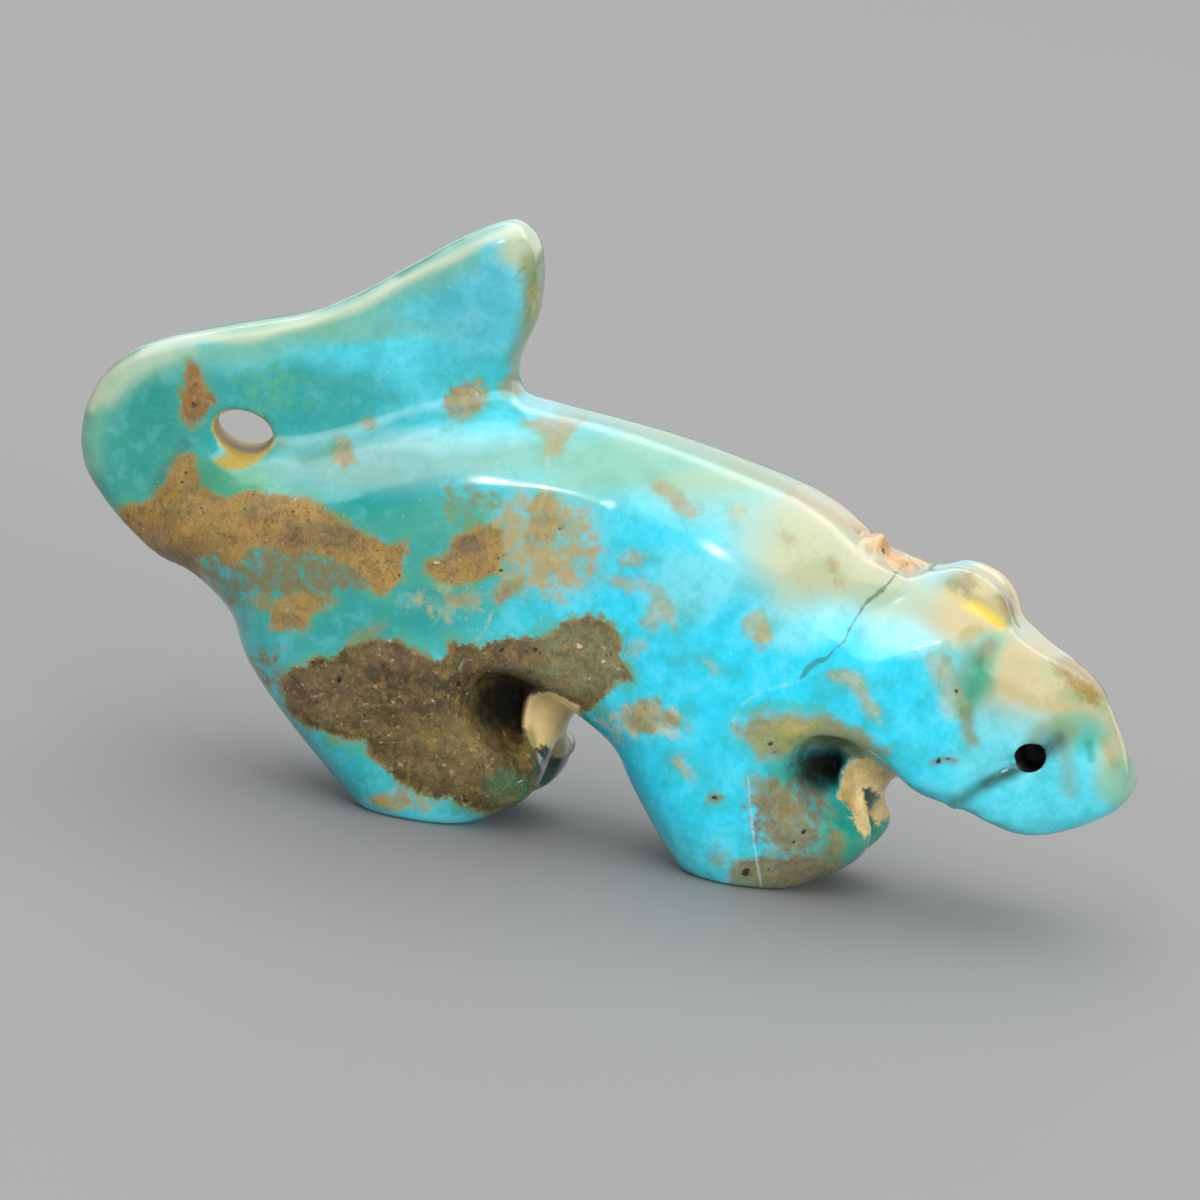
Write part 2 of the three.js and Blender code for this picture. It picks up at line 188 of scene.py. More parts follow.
# Outlines
HIND_LEG = [
    (281, 684), (292, 668), (305, 664), (318, 655), (332, 657), (347, 646), (364, 641), (400, 641),
    (417, 649), (430, 656), (440, 661), (447, 652), (446, 641), (458, 644), (478, 647), (497, 640),
    (520, 636), (542, 637), (562, 624), (580, 618), (600, 617), (612, 624), (619, 640), (623, 660),
    (634, 680), (612, 684), (603, 698), (590, 712), (560, 712), (545, 745), (540, 790), (520, 812),
    (480, 812), (462, 806), (450, 796), (430, 797), (414, 791), (398, 783), (384, 768), (371, 754),
    (364, 741), (345, 741), (322, 732), (303, 726), (290, 713), (284, 700),
]
TAIL_BAND = [
    (117, 512), (135, 505), (152, 500), (162, 488), (168, 472), (178, 458), (192, 454), (197, 470),
    (202, 484), (222, 497), (240, 494), (256, 488), (275, 495), (300, 498), (318, 503), (332, 513),
    (360, 531), (376, 541), (392, 545), (405, 540), (408, 551), (399, 560), (403, 575), (396, 590),
    (384, 593), (372, 592), (364, 578), (350, 565), (325, 555), (311, 549), (290, 553), (262, 545),
    (247, 546), (241, 562), (228, 568), (216, 551), (198, 560), (204, 584), (180, 580), (150, 566),
    (130, 548),
]
FRONT_SOLE = [
    (728, 872), (740, 864), (758, 864), (778, 862), (800, 855), (824, 850), (834, 834), (841, 840),
    (838, 866), (828, 892), (730, 892),
]
NECK_CHIP = [
    (846, 494), (862, 500), (876, 506), (890, 514), (906, 530), (918, 548), (940, 562), (906, 577),
    (896, 572), (886, 564), (876, 551), (864, 540), (850, 520),
]
REAR_WEB = [
    (525, 703), (536, 692), (552, 692), (580, 706), (580, 766), (558, 762), (546, 744), (534, 750),
    (523, 730),
]
FRONT_WEB = [(840, 798), (840, 776), (852, 760), (866, 757), (900, 780), (890, 826), (864, 838), (854, 818)]

# Patches on both sides, then those of the near side
SHARED_PATCHES = {
    "hind leg": Patch(HIND_LEG, HIND_BROWN, 0.1, 1.0, 1.0),
    "tail band": Patch(TAIL_BAND, OCHRE, 0.15, 1.0, 1.0),
    "front sole": Patch(FRONT_SOLE, SOLE_BROWN, 0.5, 0.75, 0.5),
    "neck chip": Patch(NECK_CHIP, CHIP_TAN, 0.15, 0.95, 0.2),
    "rear web": Patch(REAR_WEB, HONEY, 0.1, 1.0, 0.1),
    "front web": Patch(FRONT_WEB, HONEY, 0.08, 1.0, 0.25),
}
NEAR_PATCHES = {
    **SHARED_PATCHES,
    "tail drop": Patch([
        (187, 360), (196, 366), (204, 380), (214, 400), (206, 416), (192, 425), (182, 419), (180, 406),
        (185, 376),
    ], ORANGE, 0.14, 1.0, 0.5),
    "middle": Patch([
        (424, 562), (440, 560), (448, 552), (456, 535), (478, 528), (503, 529), (505, 548), (499, 572),
        (478, 580), (460, 585), (440, 582), (428, 573),
    ], OCHRE, 0.16, 0.95, 0.8),
    "over the front recess": Patch([
        (734, 728), (757, 715), (775, 713), (825, 715), (856, 730), (884, 751), (858, 758), (836, 746),
        (800, 744), (776, 757), (762, 759), (750, 745),
    ], OLIVE_TAN, 0.4, 0.85, 0.35),
    "front foot": Patch([
        (748, 777), (765, 782), (780, 789), (797, 806), (809, 832), (800, 842), (806, 856), (774, 852),
        (768, 830), (760, 806), (750, 800),
    ], DULL_KHAKI, 0.55, 0.7, 0.4),
    "haunch spot": Patch([
        (273, 612), (277, 600), (291, 598), (300, 590), (311, 597), (331, 598), (333, 603), (314, 610),
        (308, 625), (303, 632), (285, 632), (271, 628),
    ], OCHRE, 0.12, 0.9, 0.6),
    "small haunch spot": Patch([
        (251, 600), (258, 594), (270, 597), (268, 606), (256, 607),
    ], OCHRE, 0.24, 0.6, 0.5),
    "streak over the hind leg": Patch([
        (346, 646), (356, 634), (374, 624), (385, 622), (386, 628), (374, 638),
    ], OLIVE, 0.3, 0.7, 0.3),
    "ledge spot": Patch([
        (333, 460), (337, 440), (343, 436), (350, 440), (354, 462), (345, 468),
    ], TAN, 0.18, 0.8, 0.4),
    "small tail spot": Patch([(362, 424), (368, 418), (375, 424), (369, 431)], OCHRE, 0.24, 0.6, 0.3),
    "tail hole spot": Patch([(275, 436), (284, 440), (286, 448), (277, 447)], ORANGE, 0.21, 0.5, 0.3),
    "tail root": Patch([
        (444, 412), (450, 394), (462, 384), (476, 381), (486, 392), (487, 404), (470, 414), (450, 419),
    ], TAN, 0.16, 0.75, 0.6),
    "tail tip root": Patch([
        (498, 388), (512, 375), (521, 358), (528, 385), (516, 393), (502, 394),
    ], TAN, 0.24, 0.8, 0.4),
    "back triangle": Patch([
        (526, 422), (548, 418), (583, 418), (575, 430), (557, 453), (545, 452), (548, 438), (538, 430),
    ], OCHRE, 0.24, 0.6, 0.3),
    "back slant": Patch([
        (655, 478), (664, 476), (674, 491), (701, 510), (690, 516), (676, 510), (655, 490),
    ], OCHRE, 0.21, 0.55, 0.3),
    "khaki": Patch([
        (533, 512), (541, 497), (552, 495), (556, 514), (566, 520), (556, 532), (551, 542), (538, 544),
        (530, 552), (532, 530),
    ], TAN, 0.3, 0.65, 0.5),
    "khaki low": Patch([
        (536, 562), (550, 554), (566, 556), (560, 566), (546, 574), (536, 576),
    ], PALE_TAN, 0.3, 0.6, 0.4),
    "under the khaki": Patch([
        (492, 592), (512, 583), (523, 579), (515, 592), (500, 608), (494, 602),
    ], OCHRE, 0.21, 0.75, 0.5),
    "under the middle": Patch([
        (450, 598), (466, 594), (477, 599), (472, 606), (456, 604),
    ], TAN, 0.3, 0.5, 0.5),
    "flank dash": Patch([
        (620, 556), (630, 551), (646, 556), (642, 566), (622, 566),
    ], PALE_TAN, 0.3, 0.45, 0.3),
    "flank wedge": Patch([
        (607, 578), (640, 579), (661, 592), (677, 612), (676, 629), (667, 620), (648, 631), (643, 622),
        (653, 602), (648, 590), (615, 588),
    ], PALE_TAN, 0.3, 0.55, 0.3),
    "flank spot": Patch([(628, 648), (638, 640), (647, 648), (636, 656)], PALE_TAN, 0.3, 0.45, 0.2),
    "elbow": Patch([
        (626, 718), (630, 707), (655, 699), (668, 712), (689, 728), (664, 726), (640, 733), (629, 729),
    ], TAN, 0.27, 0.65, 0.5),
    "shoulder wedge": Patch([
        (743, 620), (754, 611), (764, 615), (770, 630), (768, 646), (760, 647), (750, 636),
    ], YELLOW, 0.24, 0.6, 0.3),
    "shoulder dash": Patch([(706, 660), (713, 662), (720, 674), (714, 676)], YELLOW, 0.27, 0.4, 0.2),
    "shoulder spot": Patch([
        (730, 508), (739, 504), (746, 510), (741, 518), (732, 516),
    ], YELLOW, 0.27, 0.4, 0.2),
    "cream spot": Patch([
        (776, 533), (781, 529), (788, 536), (794, 541), (786, 543),
    ], OCHRE, 0.21, 0.5, 0.2),
    "neck spot": Patch([(830, 560), (836, 556), (842, 563), (837, 570), (831, 567)], OCHRE, 0.21, 0.5, 0.2),
    "neck hook": Patch([
        (828, 674), (845, 670), (860, 675), (870, 694), (881, 724), (868, 714), (855, 688),
    ], PALE_TAN, 0.24, 0.6, 0.3),
    "foreleg dash": Patch([(672, 760), (683, 758), (696, 779), (688, 780)], PALE_TAN, 0.24, 0.6, 0.3),
    "foreleg spot": Patch([(706, 798), (714, 793), (721, 798), (714, 803)], GREY_BROWN, 0.21, 0.6, 0.4),
    "forefoot spot": Patch([
        (708, 857), (716, 848), (726, 854), (722, 865), (712, 864),
    ], GREY_GREEN, 0.3, 0.5, 0.3),
    "hind sole": Patch([
        (395, 783), (408, 790), (410, 804), (380, 806), (372, 799), (396, 796),
    ], TAN, 0.24, 0.7, 0.5),
    "ear front": Patch([
        (948, 582), (956, 574), (974, 571), (975, 588), (966, 597), (956, 590),
    ], OLIVE_BROWN, 0.24, 0.6, 0.3),
    "ear back": Patch([
        (1000, 584), (1009, 589), (1017, 602), (1017, 618), (1010, 623), (1003, 608),
    ], PINK_BROWN, 0.3, 0.5, 0.3),
    "cheek hook": Patch([
        (925, 658), (938, 651), (946, 660), (952, 680), (966, 702), (960, 712), (946, 694), (938, 676),
    ], PALE_TAN, 0.38, 0.4, 0.3),
    "cheek tail": Patch([(959, 706), (968, 715), (976, 746), (966, 738)], OLIVE_BROWN, 0.45, 0.35, 0.3),
    "muzzle top": Patch([
        (1054, 662), (1066, 656), (1082, 660), (1100, 672), (1112, 699), (1098, 702), (1082, 696),
        (1064, 684),
    ], OCHRE, 0.24, 0.75, 0.5),
    "muzzle dash": Patch([(1102, 738), (1110, 742), (1117, 764), (1110, 760)], OCHRE, 0.27, 0.5, 0.2),
    # Painted shade, dark green in the notches between the near and far feet
    "painted shade in the rear notch": Patch([
        (536, 750), (548, 746), (560, 760), (560, 782), (544, 794), (534, 782),
    ], PAINTED_SHADE_GREEN, 0.1, 0.95, 0.2),
    "painted shade in the front notch": Patch([
        (862, 790), (870, 787), (884, 800), (880, 822), (868, 812),
    ], PAINTED_SHADE_GREEN, 0.1, 0.95, 0.2),
}

# The far side, which the photograph doesn't show, in the same pixels of its mirror image
FAR_PATCHES = {
    **SHARED_PATCHES,
    "hind leg": Patch([
        (262, 600), (300, 575), (350, 590), (384, 574), (420, 596), (452, 640), (446, 690), (470, 742),
        (420, 770), (380, 744), (352, 700), (318, 690), (296, 640),
    ], HIND_BROWN, 0.1, 1.0, 1.0),
    "shoulder": Patch([
        (640, 560), (676, 540), (720, 552), (738, 590), (764, 604), (756, 640), (716, 650), (694, 620),
        (656, 604),
    ], GREY_BROWN, 0.14, 0.9, 0.9),
    "back": Patch([(530, 470), (560, 462), (572, 490), (548, 520), (526, 500)], TAN, 0.16, 0.7, 0.4),
    "foreleg": Patch([(820, 700), (856, 690), (870, 716), (836, 730)], TAN, 0.16, 0.7, 0.4),
    "rear foot": Patch([(500, 720), (560, 720), (560, 800), (500, 800)], HONEY, 0.1, 0.9, 0.2),
    # Painted shade in the far rear notch between the feet
    "painted shade in the rear notch": Patch([
        (522, 772), (536, 762), (546, 770), (550, 792), (540, 808), (522, 802),
    ], PAINTED_SHADE_GREEN, 0.15, 0.9, 0.2),
    "cheek": Patch([(1040, 668), (1080, 672), (1092, 700), (1056, 700)], OCHRE, 0.16, 0.6, 0.4),
    "tail": Patch([(330, 350), (352, 340), (360, 372), (340, 384)], OCHRE, 0.16, 0.7, 0.4),
}

TAIL_EDGE = [
    (90, 410), (105, 378), (125, 362), (150, 348), (180, 341), (220, 337), (260, 333), (300, 325),
    (340, 312), (380, 295), (420, 275), (460, 255), (490, 239), (512, 230),
]
TAIL_RIM = [(x - 3, y - 10) for x, y in TAIL_EDGE]  # just above it, on the tail's top, which takes a painted sheen

# Broad zones of the turquoise itself, and of painted sheen, reflection and shade where noted
ZONES = [
    Zone((560, 600), (620, 420), SKY, 1.0),
    Zone((700, 700), (290, 220), BLUE, 0.95),
    Zone((600, 590), (150, 90), BLUE, 0.7),
    Zone((1000, 790), (150, 90), SKY, 0.5),
    Zone((920, 730), (90, 80), BLUE, 0.7),
    Zone((350, 570), (230, 150), TEAL, 0.9),
    Zone((330, 760), (120, 90), DEEP, 0.8),
    Zone((120, 450), (130, 120), GREEN, 0.8),
    Zone((120, 440), (130, 130), TEAL, 0.4),
    Zone((270, 405), (210, 56), TEAL, 0.8),
    Zone((430, 330), (150, 80), SKY, 0.6),
    Zone((480, 365), (80, 40), DEEP, 0.7),
    Zone((240, 480), (80, 40), SEA_GREEN, 0.8),
    Zone((400, 460), (200, 40), UPPER_TEAL, 0.8),
    Zone((440, 520), (90, 34), SEA_GREEN, 0.5),
    Zone((548, 545), (84, 76), KHAKI, 0.5),
    Zone((680, 460), (260, 56), PALE_GREEN, 0.9),
    # Painted reflection, a pale soft sheen on the flank
    Zone((698, 582), (76, 50), AQUA, 0.8),
    Zone((800, 618), (60, 44), PALE_BLUE, 0.5),
    Zone((480, 300), (80, 64), TAIL_BLUE, 0.85),
    # Painted sheen on the upper neck facet
    Zone((904, 634), (58, 36), PALE_BLUE, 0.85),
    Zone((560, 400), (60, 24), AQUA, 0.5),
    Zone((420, 440), (150, 22), PALE_BLUE, 0.35),
    Zone((740, 492), (110, 46), CREAM, 0.35),
    Zone((832, 545), (124, 84), CREAM, 1.0),
    Zone((885, 590), (70, 50), CREAM, 0.7),
    Zone((985, 602), (90, 62), WARM_CREAM, 1.0),
    Zone((1050, 682), (120, 76), WARM_CREAM, 1.0),
    Zone((1130, 735), (48, 100), WARM_CREAM, 0.9),
    Zone((1124, 790), (40, 40), PALE_GREEN, 0.8),
    Zone((1000, 750), (70, 50), AQUA, 0.5),
    Zone((942, 670), (22, 28), PALE_TAN, 0.45),
    Zone((956, 700), (16, 18), PALE_TAN, 0.4),
    Zone((535, 245), (46, 38), CREAM, 0.9),
    Zone((980, 672), (26, 42), GREEN, 0.5),
    Zone((850, 836), (66, 50), GREEN, 0.9),
    # Painted shade, green around the front recess
    Zone((802, 776), (58, 58), GREEN, 0.8),
    Zone((525, 785), (34, 26), GREEN, 0.8),
    Zone((1075, 735), (44, 24), SEA_GREEN, 0.6),
    # Painted sheen along the tail's top
    Zone((300, 328), (200, 22), PALE_GREEN, 0.7),
]
STROKES = [
    # Painted sheen, pale over the tail's top and down its left lobe
    Stroke([
        (84, 470), (86, 430), (98, 400), (130, 372), (190, 356), (250, 350), (320, 330), (400, 292),
        (470, 256),
    ], 30, PALE_GREEN, 0.8),
    # Painted highlight in cream along the tail's edge on its left lobe
    Stroke([(104, 400), (124, 378), (152, 360), (190, 350)], 20, HIGHLIGHT_CREAM, 0.5),
    # Painted sheen on the tail's top, then a painted highlight along its edge
    Stroke(TAIL_RIM, 13, PALE_GREEN, 0.85),
    Stroke(TAIL_EDGE, 10, HIGHLIGHT_CREAM, 0.75),
    Stroke([(534, 262), (534, 300), (526, 332), (518, 356)], 22, OLIVE, 0.7),
    Stroke([(532, 288), (534, 312)], 9, YELLOW, 0.7),
    # Painted shade in the crease where the tail meets the rump
    Stroke([(158, 492), (172, 466), (190, 444)], 12, PAINTED_SHADE_GREEN, 0.6),
    Stroke([(204, 468), (232, 480), (262, 480)], 16, MOSS, 0.6),
    Stroke([(560, 410), (640, 424), (720, 452), (790, 490)], 14, OLIVE, 0.5),
    Stroke([(790, 492), (830, 512), (862, 540), (884, 566)], 11, OCHRE, 0.6),
    Stroke([(946, 588), (964, 602), (976, 609)], 11, YELLOW, 0.6),
    Stroke([(966, 603), (985, 613), (1003, 626)], 11, BRIGHT_YELLOW, 0.9),
    Stroke([(994, 640), (986, 662), (977, 684), (966, 704)], 22, SEA_GREEN, 0.75),
    Stroke([(992, 646), (985, 662)], 15, OLIVE_BROWN, 0.7),
    Stroke([(984, 664), (972, 690), (964, 706)], 16, GREEN, 0.55),
    Stroke([(966, 706), (968, 724), (974, 742)], 11, OLIVE, 0.6),
    Stroke([(1030, 742), (1040, 732), (1054, 728), (1072, 734)], 15, OLIVE, 0.6),
    Stroke([(1064, 744), (1068, 770), (1070, 792)], 17, GREY_GREEN, 0.5),
    Stroke([(1088, 742), (1092, 760)], 7, GREEN, 0.6),
    # Painted shade along the groove from the jaw to the eye
    Stroke([(956, 804), (985, 786), (1014, 770)], 13, GROOVE_SHADE_GREEN, 0.8),
    Stroke([(984, 786), (1004, 775), (1026, 762)], 10, PAINTED_SHADE_GREEN, 0.7),
    # Painted shade in the hollow beside the eye
    Stroke([(1036, 756), (1052, 746), (1060, 740)], 15, PAINTED_SHADE_GREEN, 0.8),
    Stroke([(932, 762), (946, 757), (958, 760)], 7, GREY_BROWN, 0.8),
    Stroke([(446, 600), (476, 603)], 8, TAN, 0.5),
    Stroke([(736, 716), (770, 706), (820, 708)], 9, SEA_GREEN, 0.5),
]
# Tints inside the patches
STAINS = [
    Zone((470, 546), (22, 14), PINK_BROWN, 0.9),
    Zone((330, 690), (60, 36), PINK_BROWN, 0.4),
    Zone((400, 655), (60, 16), PINK_BROWN, 0.5),
    Zone((582, 660), (70, 50), GREY_GREEN, 0.95),
    Zone((520, 655), (40, 20), GREY_BROWN, 0.6),
    Zone((450, 750), (70, 50), OLIVE_BROWN, 0.8),
    Zone((510, 790), (36, 26), GREEN, 0.6),
    Zone((330, 535), (70, 20), GREY_BROWN, 0.7),
    Zone((290, 622), (16, 10), ORANGE, 0.6),
    Zone((172, 560), (44, 18), GREY_BROWN, 0.8),
    Zone((232, 538), (12, 12), ORANGE, 0.5),
    Zone((788, 726), (34, 12), YELLOW, 0.55),
    Zone((790, 812), (16, 12), OCHRE, 0.6),
    Zone((786, 836), (16, 16), GREY_GREEN, 0.7),
    Zone((832, 846), (14, 22), OLIVE_BROWN, 0.7),
    Zone((750, 876), (26, 14), GREY_GREEN, 0.7),
    Zone((848, 790), (12, 30), OCHRE, 0.6),
    Zone((530, 742), (10, 22), OLIVE, 0.6),
]
# Where the turquoise is speckled with brown
MOTTLES = [
    Zone((300, 570), (110, 40), OLIVE_BROWN, 1.0),
    Zone((215, 585), (60, 50), OLIVE_BROWN, 0.8),
    Zone((275, 668), (30, 30), OLIVE_BROWN, 0.8),
    Zone((544, 545), (84, 80), TAN, 0.8),
    Zone((470, 506), (50, 34), OLIVE, 0.7),
    Zone((235, 478), (60, 30), SEA_GREEN, 0.9),
    Zone((533, 306), (22, 60), OLIVE, 0.9),
    Zone((790, 815), (60, 60), GREY_BROWN, 0.9),
    Zone((790, 872), (80, 26), GREY_BROWN, 0.9),
    Zone((400, 800), (50, 16), TAN, 0.8),
    Zone((450, 600), (70, 24), KHAKI, 0.6),
    Zone((640, 720), (70, 30), PALE_TAN, 0.6),
    Zone((830, 560), (90, 60), TAN, 0.25),
    Zone((1060, 690), (70, 40), TAN, 0.25),
    Zone((270, 390), (60, 40), SEA_GREEN, 0.7),
]
# Dirt and painted shade, darkest deep in the recesses over the feet
DIRT_AND_SHADE_PLACES = [
    Spot((508, 704), (78, 58), 0.95),
    Spot((500, 736), (44, 44), 0.5),
    Spot((824, 767), (66, 46), 0.95),
    Spot((812, 782), (32, 28), 0.35),
]

CRACK = [
    (900, 568), (890, 582), (878, 594), (866, 603), (856, 618), (849, 630), (845, 641), (834, 650),
    (826, 660),
]
GROOVE = [(953, 807), (975, 791), (1000, 776), (1022, 764)]
LINES = {
    "crack": Line(CRACK, 0.03, CRACK_OLIVE, 0.75),
    "dirt in the crack": Line([(884, 589), (876, 595), (867, 602)], 0.1, CRACK_GREEN, 0.65),
    "foot of the crack": Line([(828, 658), (818, 661), (808, 668), (802, 678)], 0.11, CRACK_GREEN, 0.6),
    "shoulder vein": Line([
        (798, 682), (775, 688), (755, 695), (740, 706), (733, 722), (736, 738),
    ], 0.07, PALE_VEIN, 0.25),
    "foreleg vein": Line([
        (748, 778), (751, 812), (754, 842), (757, 862), (761, 886),
    ], 0.03, PALE_VEIN, 0.5),
    "flank vein": Line([(548, 452), (546, 478), (543, 500), (535, 520)], 0.1, PALE_TAN, 0.25),
    "upper matrix vein": Line([(492, 612), (486, 628), (478, 640)], 0.072, PALE_TAN, 0.4),
    "matrix vein": Line([(462, 664), (452, 682), (447, 700)], 0.048, PALE_TAN, 0.4),
    "left matrix vein": Line([(300, 702), (316, 696), (334, 690)], 0.024, PALE_TAN, 0.4),
    "low matrix vein": Line([(452, 772), (458, 790), (465, 806)], 0.042, PALE_TAN, 0.4),
    "belly vein": Line([(612, 724), (634, 734), (650, 738), (690, 728)], 0.05, PALE_VEIN, 0.25),
}

FOLDS = {
    "tail edge": Fold(TAIL_EDGE, 0.75, 0.08),
    "back crest": Fold([(405, 487), (450, 486), (500, 487), (540, 486), (575, 492), (600, 504)], 1.0, 0.04),
    "neck edge": Fold([(846, 690), (862, 676), (880, 666), (900, 656), (926, 644), (950, 640)], 2.4, 0.3),
    "neck valley": Fold([(970, 640), (977, 668), (970, 698), (963, 722)], 0.9, -0.12),
    "ear crease": Fold([(944, 589), (965, 603), (985, 613), (1004, 627)], 0.6, -0.1),
    "groove": Fold(GROOVE, 0.42, 0.12),
    "rear web rim": Fold([(531, 697), (525, 712), (523, 730), (527, 748), (537, 770)], 0.45, 0.22),
    "front web rim": Fold([(852, 758), (842, 770), (838, 790), (842, 806), (853, 819)], 0.4, 0.18),
}
SOFT_PLACES = [
    Spot((1055, 745), (110, 90), 1.0),
    Spot((960, 700), (70, 90), 0.8),
    Spot((985, 610), (60, 40), 0.5),
    Spot((360, 500), (170, 60), 0.8),
    Spot((400, 440), (200, 50), 1.0),
    Spot((476, 712), (48, 64), 1.0),
    Spot((796, 760), (34, 44), 1.0),
    Spot((700, 450), (240, 90), 0.8),
]
HOLLOWS = {
    "rear recess": Hollow((510, 714), (42, 44), 0.9, 524),
    "front recess": Hollow((828, 770), (32, 30), 0.9, 841),
    "behind the eye": Hollow((1048, 751), (16, 20), 0.22, 1080),
}
LUMPS = {
    "chip's upper edge": Lump((878, 540), (20, 20), 0.65),
    "chip's middle": Lump((896, 552), (9, 9), 0.2),
    "chip's foot": Lump((914, 564), (18, 14), -0.3),
}
PITS = {
    "cheek": Pit((956, 692), 0.1),
    "low cheek": Pit((938, 761), 0.11),
    "low cheek right": Pit((948, 758), 0.1),
    "khaki left": Pit((506, 555), 0.08),
    "khaki": Pit((512, 561), 0.11),
    "khaki low": Pit((502, 571), 0.09),
    "khaki right": Pit((559, 529), 0.07),
    "khaki top": Pit((531, 536), 0.06),
    "middle": Pit((435, 578), 0.09),
    "hind leg": Pit((535, 649), 0.14),
    "hind edge": Pit((446, 648), 0.09),
    "hind edge right": Pit((461, 649), 0.09),
    "hind brown": Pit((339, 680), 0.14),
    "hind grey": Pit((386, 704), 0.13),
    "hind low": Pit((459, 684), 0.11),
    "hind foot": Pit((466, 801), 0.11),
    "over the recess": Pit((770, 744), 0.1),
    "over the recess low": Pit((774, 752), 0.08),
    "forefoot": Pit((804, 832), 0.13),
    "forefoot left": Pit((787, 850), 0.11),
    "forefoot top": Pit((793, 843), 0.08),
    "front sole": Pit((746, 872), 0.14),
    "front sole right": Pit((768, 868), 0.1),
    "foreleg": Pit((714, 799), 0.11),
    "tail drop": Pit((194, 404), 0.1),
    "haunch": Pit((300, 583), 0.07),
    "tail band": Pit((183, 482), 0.07),
    "tail band low": Pit((292, 512), 0.1),
    "chip": Pit((884, 551), 0.1),
    "chip low": Pit((896, 562), 0.08),
}

# Material. Reaches in mm
MIX_INPUTS = (0, 6, 7)  # share and both colours of a Mix node
MIX_OUTPUT = 2
DRIFT = Grain(1.6, 2.0, 0.5)
DRIFT_REACH = 0.2
EDGE = Grain(1.5, 5.0, 0.68, True)
EDGE_REACH = 0.95  # how far it shakes the edges of patches, and then of lines, pits, and the dirt and painted shade
LINE_SHAKE = 0.25
PIT_SHAKE = 0.6
DIRT_AND_SHADE_SHAKE = 0.7
CRUMBLE = Grain(4.5, 2.0, 0.7)
CRUMBLE_REACH = 0.5
BLOTCH = Grain(1.7, 4.0, 0.7, True)
BLOTCH_PUSH = 0.26  # that MOTTLES add to it
MOTTLE = Grain(0.8, 4.0, 0.6, True)
MIXED = Level("patch_grain", 0.0, 0.6)
LIGHT = Level(Grain(2.0, 5.0, 0.8, True), 0.48, 0.62)
STONE_LAYERS = [
    Layer(PALE_GREEN, 0.1, [Level(Grain(0.4, 2.0), 0.45, 0.7)]),
    Layer(TEAL, 0.32, [Level(MOTTLE, 0.46, 0.68), "blueness"]),
    Layer(PALE_BLUE, 0.14, [Level(MOTTLE, 0.5, 0.34), "blueness"]),
    Layer(DEEP, 0.25, [Level(Grain(2.4, 3.0, 0.7), 0.48, 0.7), "blueness"]),
    Layer(SEA_GREEN, 0.75, [Level("edge", 1.1, 0.0), Level(MOTTLE, 0.36, 0.62), "patch_grain"]),
    Layer(OLIVE, 0.8, [Level("edge", 0.34, 0.02), Level(Grain(1.1, 1.0), 0.4, 0.6), MIXED]),
    Layer(PALE_TAN, 0.22, [Level(Flecks(1.3), 0.13, 0.03)]),
    Layer("mottle_colour", 0.9, [Level("blotches", 0.56, 0.82), Level("mottle_amount", 0.02, 0.3)]),
]
MATRIX_LAYERS = [
    Layer(PINK_BROWN, 0.4, [Level(Grain(0.9, 3.0, 0.6), 0.48, 0.6), MIXED]),
    Layer(OLIVE_BROWN, 0.6, [Level(Grain(0.8, 3.0, 0.6), 0.54, 0.42), MIXED]),
    Layer(OCHRE, 0.5, [Level(Grain(1.4, 3.0, 0.6), 0.52, 0.64), MIXED]),
    Layer(DARK_GRAIN, 0.4, [Level(Grain(0.7, 3.0, 0.6, True), 0.5, 0.66), MIXED]),
    Layer(LIGHT_GRAIN, 0.45, [LIGHT, MIXED]),
    Layer(DARK_GRAIN, 0.6, [Level(Grain(3.0, 4.0, 0.8, True), 0.5, 0.62), MIXED]),
    Layer("patch_colour", 0.22, []),
    Layer(OCHRE, 0.3, [Level("edge", -0.25, -0.06), "patch_grain"]),
    Layer(DIRT_AND_SHADE, 0.85, [Level(Flecks(1.7), 0.2, 0.08), Level(Grain(1.2, 2.0), 0.46, 0.6), "patch_grain"]),
    Layer(PALE_TAN, 0.55, [Level(Flecks(2.8), 0.24, 0.1), LIGHT, MIXED, "patch_grain"]),
    Layer(CRUMB, 0.9, [Level(Flecks(1.25), 0.2, 0.08), LIGHT, MIXED, "patch_grain"]),
]
LINE_PARTS = [Level("line_edge", 0.07, -0.05), Level("line_half", 0.0, 0.03), "whole_line", "line_strength"]
SURFACE_LAYERS = [
    Layer("line_colour", 1.0, LINE_PARTS),
    Layer(YELLOW, 1.0, ["hole_wall"]),
    Layer(DIRT_AND_SHADE, 0.25, [Level(Grain(8.0, 2.0, 0.75), 0.35, 0.65), Level("dull", 0.0, 1.0, 0.12)]),
    Layer(DIRT_AND_SHADE, 1.0, ["all_dirt"]),
]
LINE_BREAKS = Level(Grain(2.2, 3.0, 0.7), 0.42, 0.54)
STRONG_LINE = Level("line_strength", 0.42, 0.48)  # which isn't broken
PATCH_RIM = Level("edge_in_softness", 1.0, -1.0)
# Dirt and painted shade in the recesses, near black
RECESS_DIRT_AND_SHADE = Level("shaken_dirt", 0.2, 0.95)
RECESS_START = Level("dirt", 0.0, 0.15)
PIT_DIRT = Level("shaken_pit", 0.04, -0.04, 0.0, 0.92)
